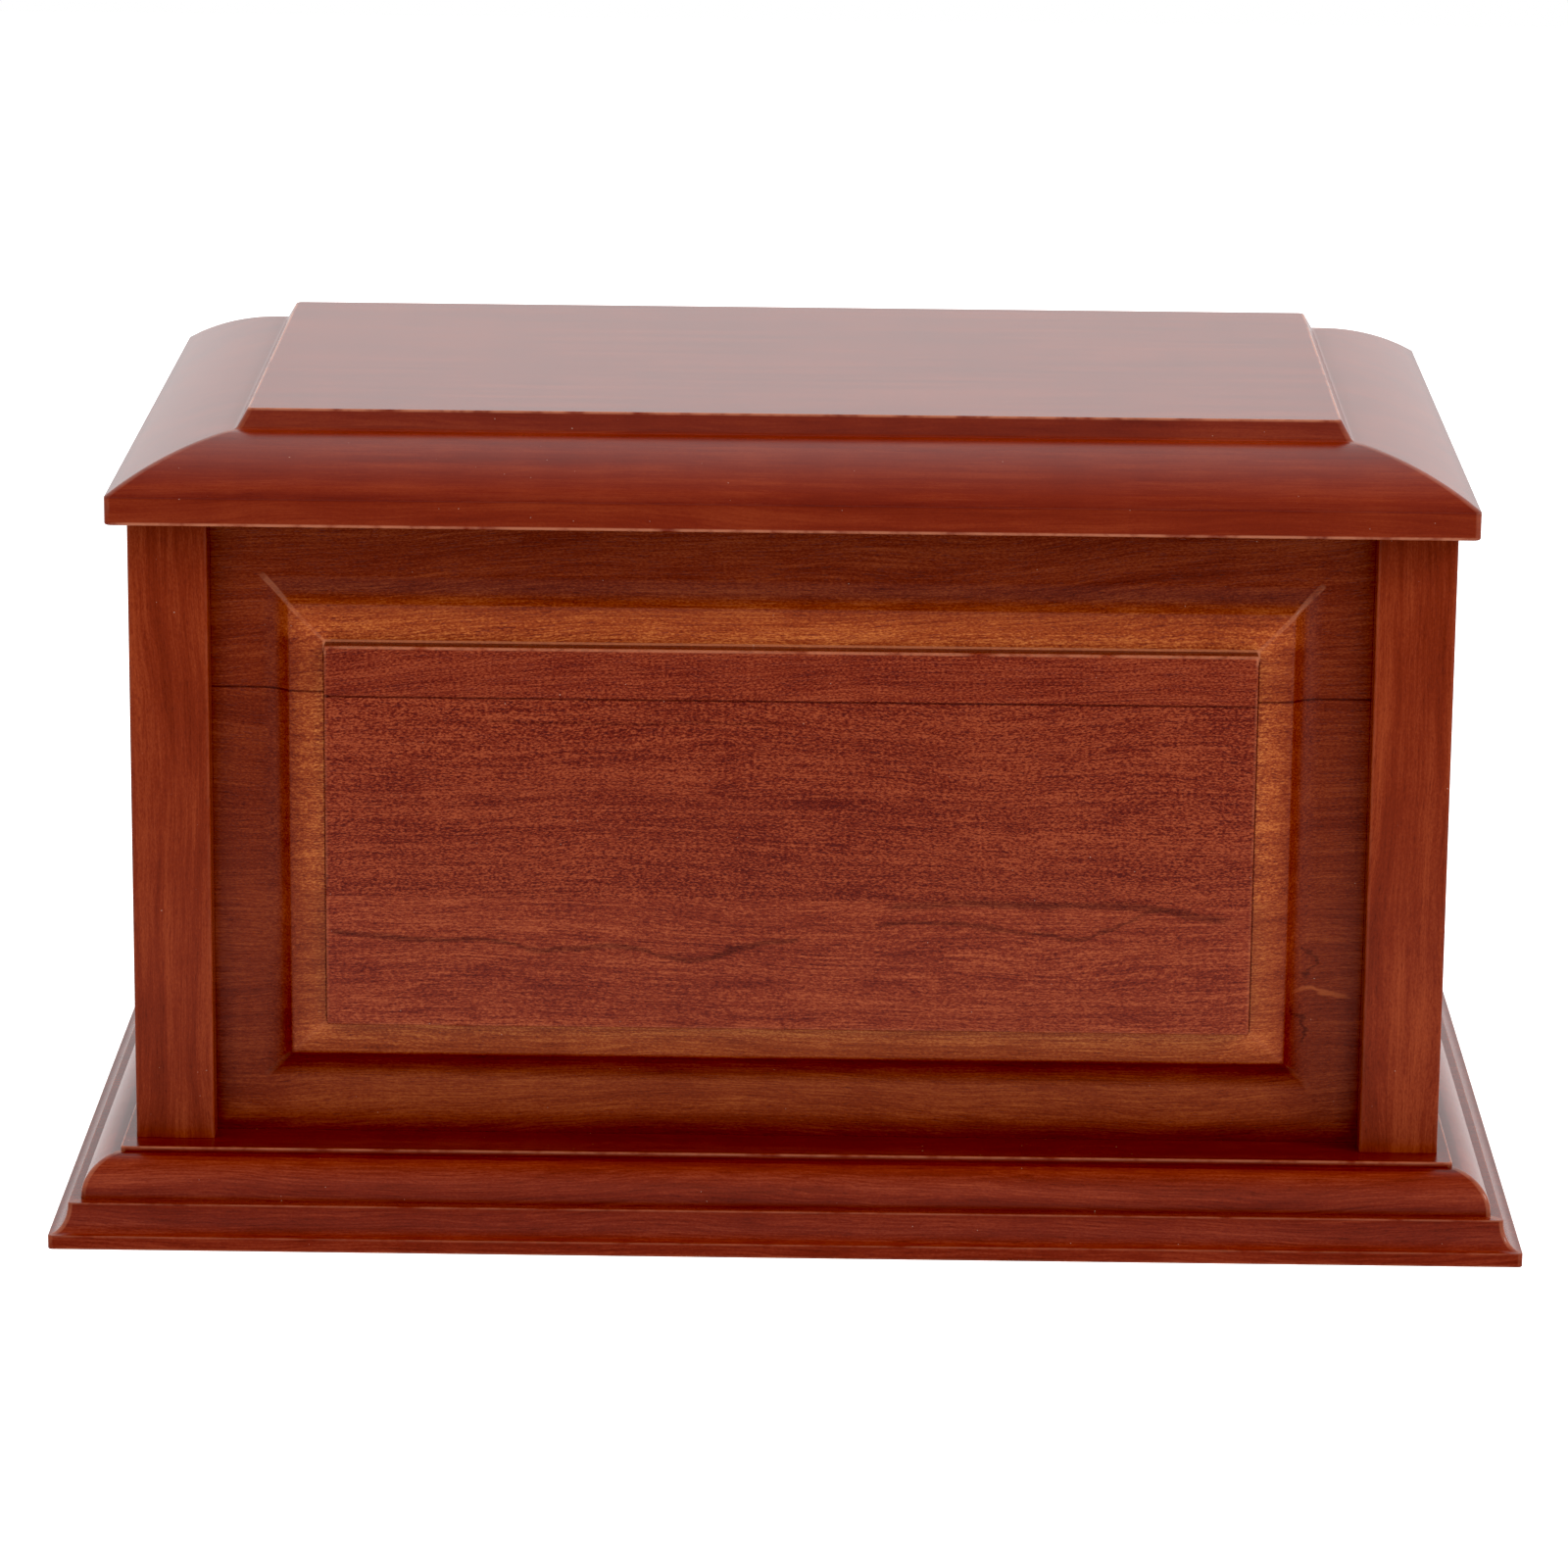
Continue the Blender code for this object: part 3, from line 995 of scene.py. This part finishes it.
@dataclass
class Camera:
    """The camera, at the viewing angle of the photograph, whose frame is 1600 pixels square."""

    frame_pixels: float = 1600.0
    focal_pixels: float = 6643.86
    yaw: float = math.radians(0.5565)
    pitch: float = math.radians(14.611)
    roll: float = math.radians(0.538)
    place: tuple[float, float, float] = (0.010496, -1.26536, 0.39888)
    sensor: float = 36.0

    def axes(self) -> tuple[Vector, Vector, Vector]:
        """Work out how the camera stands.

        Returns:
            Which way its right side, its top and its view point.
        """
        level = Vector((math.cos(self.yaw), math.sin(self.yaw), 0.0))
        ahead = Vector((-math.sin(self.yaw) * math.cos(self.pitch),
                        math.cos(self.yaw) * math.cos(self.pitch), -math.sin(self.pitch)))
        upward = level.cross(ahead)
        right = math.cos(self.roll) * level + math.sin(self.roll) * upward
        top = math.cos(self.roll) * upward - math.sin(self.roll) * level
        return right, top, ahead

    def meet(self, across: float, down: float, face: float) -> Vector:
        """Follow a line of sight to an upright face.

        Args:
            across: where it passes through the frame, in pixels from the frame's left edge.
            down: and in pixels from its top edge.
            face: the face's place along Y.

        Returns:
            The point where the line meets the face.
        """
        right, top, ahead = self.axes()
        middle = self.frame_pixels / 2
        sight = ahead * self.focal_pixels + right * (across - middle) - top * (down - middle)
        eye = Vector(self.place)
        return eye + sight * ((face - eye.y) / sight.y)

    def build(self) -> None:
        """Set up the camera and make it the scene's own."""
        right, top, ahead = self.axes()
        data = bpy.data.cameras.new("camera")
        data.sensor_width = self.sensor
        data.sensor_fit = "HORIZONTAL"
        data.lens = self.focal_pixels / self.frame_pixels * self.sensor
        camera = bpy.data.objects.new("camera", data)
        camera.matrix_world = Matrix((right, top, -ahead)).transposed().to_4x4()
        camera.location = self.place
        bpy.context.scene.collection.objects.link(camera)
        bpy.context.scene.camera = camera


@dataclass(frozen=True)
class Crop:
    """A part of the photograph's frame, enlarged or not, on which places on one face were picked."""

    left: float
    top: float
    zoom: float                     # pixels of the crop for each pixel of the frame
    face: float                     # the face's place along Y

    def places(self, *picks: tuple[int, int]) -> tuple[Point, ...]:
        """Turn places on the crop into places on the face.

        Args:
            picks: pixels from the crop's left edge and from its top edge.

        Returns:
            Their x and z in millimetres of the urn's frame, to a tenth.
        """
        points = [CAMERA.meet(self.left + across / self.zoom, self.top + down / self.zoom, self.face)
                  for across, down in picks]
        return tuple((round(point.x / MM, 1), round(point.z / MM, 1)) for point in points)


# Both boards above the lowest seam are darker than the lowest one.
PANEL_BOARDS = (Board(65.4, (0.885, 0.80, 0.80), speckle=0.42, slant=0.0, golden=0.5, seam=0.0),
                Board(104.4, (1.0, 1.0, 1.0), speckle=-0.15, slant=0.06, golden=-0.35, seam=0.90))
# The front panel's own figure, picked on parts of the photograph's frame.
CAMERA = Camera()
MARGIN_THICKNESS = 8.6 * MM
FRONT_LOW, FRONT_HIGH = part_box("panel_front")
FIELD_LEFT = Crop(325.0, 650.0, 3.125, FRONT_LOW[1])
FIELD_RIGHT = Crop(800.0, 650.0, 3.0612, FRONT_LOW[1])
MARGIN = Crop(0.0, 0.0, 1.0, FRONT_HIGH[1] - MARGIN_THICKNESS)

# Middles of the field's dark and light patches.
DARK_SPOTS = FIELD_LEFT.places((325, 380), (500, 520), (440, 620), (1300, 490), (1380, 690), (480, 270),
                               (330, 1130), (520, 1065), (300, 1200), (1300, 400), (230, 460))
DARK_SPOTS += FIELD_RIGHT.places((120, 520), (30, 690), (1080, 350), (1260, 680), (450, 430),
                                 (1060, 560), (250, 790), (760, 600), (1380, 520))
LIGHT_SPOTS = FIELD_LEFT.places((630, 240), (1150, 320), (780, 420), (400, 590), (900, 440), (100, 330),
                                (880, 700))
LIGHT_SPOTS += FIELD_RIGHT.places((450, 310), (300, 480), (700, 720), (1250, 560), (760, 500), (150, 400),
                                  (550, 590), (600, 1000), (200, 1000))
FRONT_SPOTS = tuple(Spot(x, z, 6.0, 2.0, -0.15) for x, z in DARK_SPOTS)
FRONT_SPOTS += tuple(Spot(x, z, 7.0, 2.2, 0.11) for x, z in LIGHT_SPOTS)

# Lines: a dark growth ring, a lens-shaped figure, a faint line, and a knot with its curl and crack.
DARK_RING = FIELD_LEFT.places((30, 940), (200, 953), (420, 965), (560, 965), (690, 1000), (760, 995),
                              (960, 990), (1080, 1020), (1160, 1030), (1280, 998), (1360, 980),
                              (1500, 960))
LENS_FOOT = FIELD_RIGHT.places((270, 905), (430, 890), (600, 905), (700, 925), (800, 925), (870, 940),
                               (950, 940), (1020, 920), (1130, 870), (1200, 855))
LENS_TOP = FIELD_RIGHT.places((300, 842), (650, 836), (1000, 840), (1200, 860), (1300, 880), (1450, 892))
FAINT_LINE = ((-56.0, 100.0), (-30.0, 99.7), (-12.0, 100.1), (0.0, 99.9))
KNOT_LINE = MARGIN.places((1313, 1014), (1320, 1009), (1330, 1008), (1345, 1013), (1360, 1015), (1378, 1017))
CURL_PICKS = MARGIN.places((1332, 1066), (1328, 1050), (1325, 1035), (1324, 1022))
CRACK_PICKS = MARGIN.places((1326, 1003), (1331, 990), (1335, 978), (1330, 962))
KNOT_CURL = tuple((z, x) for x, z in CURL_PICKS)
KNOT_CRACK = tuple((z, x) for x, z in CRACK_PICKS)
FRONT_STROKES = (Stroke(DARK_RING, 0.8, 0.60), Stroke(LENS_FOOT, 0.7, 0.50), Stroke(LENS_TOP, 1.1, 0.55),
                 Stroke(FAINT_LINE, 0.4, 0.35),
                 Stroke(KNOT_LINE, 0.6, 0.45, colour=(0.50, 0.12, 0.03), blend="MIX"),
                 Stroke(KNOT_CURL, 0.7, 0.60, upright=True), Stroke(KNOT_CRACK, 0.6, 0.55, upright=True))


@dataclass
class RaisedPanel:
    """A panel between two posts: a flat margin, a moulding, an upright step and a flat field."""

    facing: Facing
    seed: float
    margin_thickness: float = MARGIN_THICKNESS
    side_border: float = 21.5 * MM
    top_border: float = 23.75 * MM
    bottom_border: float = 22.95 * MM
    field_step: float = 3.7 * MM
    field_arris: float = 0.35 * MM
    crown_width: float = 6.4 * MM
    crown_slope: float = math.radians(9.0)
    roll_radius: float = 1.6 * MM
    cove_slope: float = math.radians(46.0)
    field_corner: float = 0.3 * MM
    outer_corner: float = 0.7 * MM
    fit: float = 0.27 * MM          # how much wider and taller than its node, to close the joints
    curve_steps: int = 12           # steps in each of the ogee's three curves
    crease_width: float = 0.35 * MM
    joint_corner: float = 0.2 * MM
    joint_shade_reach: float = 4 * MM     # how far the painted shade at the joints spreads over the margin
    step_shade_reach: float = 0.05 * MM   # and how far the painted shade climbs the foot of the step
    # Painted shade over the margin, and at the joints with the posts.
    margin_shade: float = 0.10
    joint_shade: float = 0.9
    roll_open: float = 0.15
    crown_open: float = 0.50
    roll_wiped: float = 0.12
    # How worn the mitres are, with a painted highlight along them.
    mitre_wear_and_highlight: float = 0.45
    spots: tuple[Spot, ...] = ()
    strokes: tuple[Stroke, ...] = ()

    def ogee(self, drop: float) -> list[Mark]:
        """Draw the moulding from the margin up to the step: a hollow, a tight roll and a gentle crown.

        Args:
            drop: its height.

        Returns:
            The points, with insets counted outwards from the field and heights from the margin.
        """
        crown_radius = self.crown_width / math.sin(self.crown_slope)
        crown_foot = drop - crown_radius * (1 - math.cos(self.crown_slope))
        roll_height = self.roll_radius * (math.cos(self.crown_slope) - math.cos(self.cove_slope))
        roll_foot = crown_foot - roll_height
        roll_width = self.roll_radius * (math.sin(self.cove_slope) - math.sin(self.crown_slope))
        cove_radius = roll_foot / (1 - math.cos(self.cove_slope))
        width = self.crown_width + roll_width + cove_radius * math.sin(self.cove_slope)
        marks = []
        # Painted shade darkens the hollow towards the roll, then fades out over the roll.
        for step in range(self.curve_steps):
            share = step / self.curve_steps
            slope = self.cove_slope * share
            marks.append(Mark(width - cove_radius * math.sin(slope), cove_radius * (1 - math.cos(slope)),
                              pocket=self.margin_shade + (1.0 - self.margin_shade) * share,
                              open=self.roll_open * share))
        for step in range(self.curve_steps):
            share = step / self.curve_steps
            slope = self.cove_slope + (self.crown_slope - self.cove_slope) * share
            outwards = self.roll_radius * (math.sin(slope) - math.sin(self.crown_slope))
            downwards = self.roll_radius * (math.cos(self.crown_slope) - math.cos(slope))
            marks.append(Mark(self.crown_width + outwards, crown_foot - downwards,
                              pocket=1.0 - share, wiped=self.roll_wiped * share, open=self.roll_open))
        levels = [self.crown_width * (1 - step / self.curve_steps) for step in range(self.curve_steps)]
        for inset in (*levels, 2 * self.crease_width, self.crease_width, 0.0):
            height = drop - crown_radius + math.sqrt(crown_radius ** 2 - inset ** 2)
            near = 1.0 - inset / self.crown_width
            crease = 1.0 if inset < 1.5 * self.crease_width else 0.0
            wiped = self.roll_wiped + (1.0 - self.roll_wiped) * near
            opened = self.roll_open + (self.crown_open - self.roll_open) * near
            marks.append(Mark(inset, height, wiped=wiped, open=opened, crease=crease))
        return sorted(marks, key=lambda mark: -mark.inset)

    def rings(self, half_width: float, half_height: float, thickness: float) -> list[Ring]:
        """Lay out the panel's levels as it lies on its back.

        Args:
            half_width: half its width.
            half_height: half its height.
            thickness: its whole thickness.

        Returns:
            The levels in order, with the panel's foot at -Y.
        """
        whole = Plan(-half_width, half_width, -half_height, half_height)
        field = Plan(-half_width + self.side_border, half_width - self.side_border,
                     -half_height + self.bottom_border, half_height - self.top_border)
        margin = self.margin_thickness
        foot = thickness - self.field_step
        section = self.ogee(foot - margin)
        if self.facing is Facing.BACK:
            section = [section[0], section[-1]]
        edge, joint = whole.inset(-self.fit), self.joint_corner
        # Painted shade at the joints with the posts, thinning out over the margin.
        rings = [Ring(edge, joint, Mark(0.0, level, pocket=self.joint_shade)) for level in (0.0, margin)]
        flat = Mark(0.0, margin, pocket=self.margin_shade)
        rings.append(Ring(whole.inset(self.joint_shade_reach), joint, flat))
        for mark in section:
            share = mark.inset / section[0].inset
            corner = self.field_corner + (self.outer_corner - self.field_corner) * share
            # Every ring but the outermost has worn mitres, with their painted highlight.
            wear_and_painted_light = 0.0 if mark is section[0] else self.mitre_wear_and_highlight
            rings.append(Ring(field.inset(-mark.inset), corner, mark.raised(margin), wear_and_painted_light))
        # Painted shade over the upright face of the step.
        rings.append(Ring(field, self.field_corner, Mark(0.0, foot + self.step_shade_reach, shade=1.0)))
        # The step's arris is worn and carries a painted highlight, weaker below the field's top.
        step_edge = Moulder.eased((0.0, foot), (0.0, thickness), (Moulder.FAR, thickness), self.field_arris,
                                  arris=0.8)
        step_edge = [replace(mark, open=0.9) for mark in step_edge]
        # Painted shade up to the step's arris.
        step_edge[0] = replace(step_edge[0], shade=0.95)
        return rings + [Ring(field.inset(mark.inset), self.field_corner, mark) for mark in step_edge]

    def build(self) -> None:
        """Make and finish the panel."""
        side = self.facing.name.lower()
        node = f"panel_{side}"
        low, high = (Vector(corner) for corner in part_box(node))
        size = high - low
        across_x = self.facing in (Facing.FRONT, Facing.BACK)
        width, thickness = (size.x, size.y) if across_x else (size.y, size.x)
        upright = (Matrix.Rotation(math.radians(self.facing.value), 4, "Z")
                   @ Matrix.Rotation(math.pi / 2, 4, "X"))
        outward = (upright @ Vector((0.0, 0.0, 1.0, 0.0))).xyz
        place = Matrix.Translation((low + high) / 2 - outward * (thickness / 2)) @ upright
        rings = self.rings(width / 2, size.z / 2, thickness)
        grain = Grain.LEFT_TO_RIGHT if across_x else Grain.FRONT_TO_BACK
        finish = StainedWood(f"{side} panel wood", grain, self.seed, dark=(0.085, 0.007, 0.003),
                             middle=(0.196, 0.022, 0.005), light=(0.350, 0.066, 0.014), gloss=0.34,
                             golden=0.6, low_wear_and_highlight=0.25, top_painted_light=0.30, foot_painted_light=0.20, relief=0.5,
                             boards=PANEL_BOARDS, spots=self.spots, strokes=self.strokes)
        settle(Moulder.loft(f"urn_{node}", rings, place), node, finish.make())


@dataclass
class Lid:
    """The lid: one board shaped to a curved hip round a low slab, with a tongue under it."""

    edge_height: float = 5.45 * MM
    arris: float = 0.5 * MM
    hip_run: float = 22.0 * MM
    hip_rise: float = 8.6 * MM
    hip_top_slope: float = math.radians(8.0)
    slab_flat: float = 0.7 * MM
    slab_run: float = 2.1 * MM
    slab_cove: float = 0.9 * MM
    slab_arris: float = 0.5 * MM
    tongue_clearance: float = 0.5 * MM
    tongue_depth: float = 3.0 * MM
    corner: float = 1.0 * MM
    # How worn the plan corners are, with a painted highlight on them.
    corner_wear_and_highlight: float = 0.2
    edge_wiped: float = 0.02
    hip_steps: int = 24

    def hip(self, foot: float) -> list[Mark]:
        """Draw the hip as an arc that climbs inwards and flattens.

        Args:
            foot: the height where it starts.

        Returns:
            The points in order.
        """
        chord_slope = math.atan2(self.hip_rise, self.hip_run)
        start_slope = 2 * chord_slope - self.hip_top_slope
        radius = math.hypot(self.hip_run, self.hip_rise) / 2 / math.sin(chord_slope - self.hip_top_slope)
        marks = []
        for step in range(self.hip_steps + 1):
            slope = start_slope + (self.hip_top_slope - start_slope) * step / self.hip_steps
            marks.append(Mark(radius * (math.sin(start_slope) - math.sin(slope)),
                              foot + radius * (math.cos(slope) - math.cos(start_slope))))
        return marks

    def section(self, height: float) -> list[Mark]:
        """Draw the lid's edge, hip and slab.

        Args:
            height: the lid's whole height with its tongue.

        Returns:
            The section's points, with insets from the lid's edge.
        """
        under = self.tongue_depth
        edge_top = under + self.edge_height
        hip = self.hip(edge_top)
        hip_top = (hip[-1].inset, hip[-1].height)
        slab_foot = (hip_top[0] + self.slab_flat, hip_top[1])
        slab_top = (slab_foot[0] + self.slab_run, height)
        eased = Moulder.eased
        # The lower edge is worn, with a painted highlight.
        foot = eased((Moulder.FAR, under), (0.0, under), (0.0, edge_top), self.arris, arris=0.9)
        marks = [replace(mark, wiped=self.edge_wiped) for mark in foot]
        edge = eased((0.0, under), (0.0, edge_top), (hip[3].inset, hip[3].height), self.arris)
        marks.append(replace(edge[0], wiped=self.edge_wiped))
        # The hip's foot is darkened to a thin line.
        marks += [replace(mark, shade=0.45) for mark in edge[2:-1]]
        marks += [mark for mark in hip[3:-1] if mark.inset > marks[-1].inset]
        # Painted shade in the cove at the slab's foot.
        marks += eased((hip[-4].inset, hip[-4].height), slab_foot, slab_top, self.slab_cove, pocket=0.7)
        # The slab's edge is worn, with a painted highlight.
        marks += eased(slab_foot, slab_top, (slab_top[0] + Moulder.FAR, height), self.slab_arris,
                       arris=0.8)
        return marks

    def build(self) -> None:
        """Make and finish the lid."""
        plan, low, high = box_plan("lid")
        tongue = cavity_plan().inset(self.tongue_clearance)
        rings = [Ring(tongue, self.corner, Mark(0.0, level)) for level in (low, low + self.tongue_depth)]
        rings += [Ring(plan.inset(mark.inset), self.corner, mark.raised(low), self.corner_wear_and_highlight)
                  for mark in self.section(high - low)]
        finish = StainedWood("lid wood", Grain.LEFT_TO_RIGHT, seed=29.0, dark=(0.095, 0.006, 0.002),
                             middle=(0.174, 0.0145, 0.003), light=(0.275, 0.037, 0.008), streak=0.40,
                             fibre=0.30, fleck=0.30, pore=0.08, relief=0.02, waves=0.002)
        settle(Moulder.loft("urn_lid", rings), "lid", finish.make())


@dataclass(frozen=True)
class SoftBox:
    """A soft lamp aimed at the middle of the urn."""

    name: str
    azimuth: float                  # degrees from the front, to the right
    elevation: float                # degrees above level
    radiance: float
    distance: float = 1.5
    width: float = 0.34
    height: float = 0.34

    def build(self, target: Vector) -> None:
        """Hang the lamp.

        Args:
            target: what it points at.
        """
        turn = math.radians(self.azimuth)
        rise = math.radians(self.elevation)
        away = Vector((math.sin(turn) * math.cos(rise), -math.cos(turn) * math.cos(rise), math.sin(rise)))
        data = bpy.data.lights.new(self.name, "AREA")
        data.shape = "RECTANGLE"
        data.size = self.width
        data.size_y = self.height
        data.energy = math.pi * self.width * self.height * self.radiance
        lamp = bpy.data.objects.new(self.name, data)
        lamp.location = target + away * self.distance
        lamp.rotation_euler = away.to_track_quat("Z", "Y").to_euler()
        lamp.visible_camera = False
        bpy.context.scene.collection.objects.link(lamp)


@dataclass
class Studio:
    """A pale floor, a white surround and two soft lamps."""

    floor_half_width: float = 1.5
    floor_front: float = -0.32
    floor_back: float = 1.6
    floor_glow: float = 0.93
    black_level: float = 0.0075
    left_glow: float = 0.27
    right_glow: float = 0.60
    glow_heights: tuple[float, float, float, float] = (-0.40, -0.15, 0.25, 0.50)
    glow_sides: tuple[float, float, float, float] = (0.18, 0.33, 0.80, 0.92)
    lamps: tuple[SoftBox, ...] = (SoftBox("left lamp", -62.0, 34.0, 2.2),
                                  SoftBox("right lamp", 62.0, 34.0, 17.0))

    # Brightness by the sine of the height: in the gloss, behind the urn and in front of it, then as light.
    backdrop: Table = ((-1.0, 0.8), (0.0, 1.18), (0.30, 1.12), (0.5, 0.75), (0.8, 0.60), (0.94, 0.14),
                       (1.0, 0.02))
    room: Table = ((-1.0, 0.02), (-0.04, 0.02), (0.06, 0.30), (0.35, 0.27), (0.62, 0.23), (0.90, 0.06),
                   (1.0, 0.0))
    fill: Table = ((-1.0, 1.70), (0.0, 0.46), (0.30, 0.86), (0.60, 1.32), (1.0, 1.05))

    # The card's brightness by y in metres, and half its width.
    card: Table = ((-0.72, 0.03), (-0.55, 0.10), (-0.36, 0.28), (-0.25, 0.56), (-0.17, 0.36),
                   (-0.12, 0.10), (-0.095, 0.08))
    card_half_width: float = 0.4
    card_drop: float = 0.5 * MM     # how far it lies below the floor

    @staticmethod
    def lay(name: str, finish: bpy.types.Material, half_width: float, front: float,
            back: float) -> bpy.types.Object:
        """Lay a flat sheet on the ground that throws no shadow and lights nothing.

        Args:
            name: the sheet's name.
            finish: its material.
            half_width: half its width.
            front: where it starts, along Y.
            back: where it ends.

        Returns:
            The sheet.
        """
        corners = [(-half_width, front, 0.0), (half_width, front, 0.0),
                   (half_width, back, 0.0), (-half_width, back, 0.0)]
        mesh = bpy.data.meshes.new(name)
        mesh.from_pydata(corners, [], [(0, 1, 2, 3)])
        mesh.materials.append(finish)
        sheet = bpy.data.objects.new(name, mesh)
        bpy.context.scene.collection.objects.link(sheet)
        sheet.visible_diffuse = False
        sheet.visible_shadow = False
        return sheet

    def build_floor(self) -> None:
        """Lay the floor."""
        finish, graph = Graph.of_material("pale floor")
        graph.shade({"Base Color": (0.8, 0.8, 0.8, 1.0), "Roughness": 0.9, "Specular IOR Level": 0.0,
                     "Emission Color": (1.0, 1.0, 1.0, 1.0), "Emission Strength": self.floor_glow})
        floor = self.lay("studio_floor", finish, self.floor_half_width, self.floor_front, self.floor_back)
        floor.visible_glossy = False

    def build_card(self) -> None:
        """Lay a card in front of the urn that shows in its gloss only."""
        first, last = self.card[0][0], self.card[-1][0]
        finish, graph = Graph.of_material("card")
        _, y, _ = graph.parts(graph.add("ShaderNodeTexCoord").outputs["Object"])
        stops = [((place - first) / (last - first), (level,) * 3) for place, level in self.card]
        glow = graph.colour_ramp((y - first) * (1.0 / (last - first)), stops)
        graph.shade({"Base Color": (0.0, 0.0, 0.0, 1.0), "Roughness": 1.0, "Specular IOR Level": 0.0,
                     "Emission Color": glow, "Emission Strength": 1.0})
        card = self.lay("studio_card", finish, self.card_half_width, first, last)
        card.location.z = -self.card_drop
        card.visible_camera = False

    def build_surround(self) -> None:
        """Light the room: a bright backdrop behind the urn and a dim room in front of it."""
        world = bpy.data.worlds.new("studio")
        world.use_nodes = True
        bpy.context.scene.world = world
        graph = Graph(world.node_tree)
        direction = graph.add("ShaderNodeTexCoord").outputs["Generated"]
        x, y, z = graph.parts(direction)
        height = z * 0.5 + 0.5
        room, backdrop, fill = (
            graph.colour_ramp(height, [((sine + 1.0) / 2.0, (level,) * 3) for sine, level in table])
            for table in (self.room, self.backdrop, self.fill))
        level = z.band(self.glow_heights) * y.ramp(0.10, -0.15)
        for side, glow in ((-1.0, self.left_glow), (1.0, self.right_glow)):
            beside = (x * side).band(self.glow_sides) * level
            room = graph.mix(beside, room, (glow, glow, glow, 1.0))
        gloss = graph.mix(y.ramp(-0.15, 0.25), room, backdrop)
        rays = graph.add("ShaderNodeLightPath").outputs
        glow = graph.mix(rays["Is Glossy Ray"], fill, gloss)
        glow = graph.mix(rays["Is Camera Ray"], glow, (1.0, 1.0, 1.0, 1.0))
        background = graph.add("ShaderNodeBackground", None, {"Color": glow, "Strength": 1.0})
        graph.add("ShaderNodeOutputWorld", None, {"Surface": background.outputs[0]})

    def build(self) -> None:
        """Set up the whole studio."""
        self.build_floor()
        self.build_card()
        self.build_surround()
        low, high = (Vector(corner) for corner in cad_bounds)
        middle = (low + high) / 2
        for lamp in self.lamps:
            lamp.build(middle)
        CAMERA.build()
        grading = bpy.context.scene.view_settings
        grading.view_transform = "Standard"
        grading.use_curve_mapping = True
        grading.curve_mapping.black_level = (self.black_level,) * 3


def main() -> None:
    """Build the urn's pieces and the studio round them."""
    logging.basicConfig(level=logging.INFO, format="%(message)s")
    BaseBoard().build()
    seed = FIRST_SEED
    for end in ("front", "back"):
        for side in ("left", "right"):
            CornerPost(end, side, seed).build()
            seed += SEED_STEP
    for facing in Facing:
        marked = {"spots": FRONT_SPOTS, "strokes": FRONT_STROKES} if facing is Facing.FRONT else {}
        RaisedPanel(facing, seed, **marked).build()
        seed += SEED_STEP
    Lid().build()
    Studio().build()


if __name__ == "__main__":
    main()
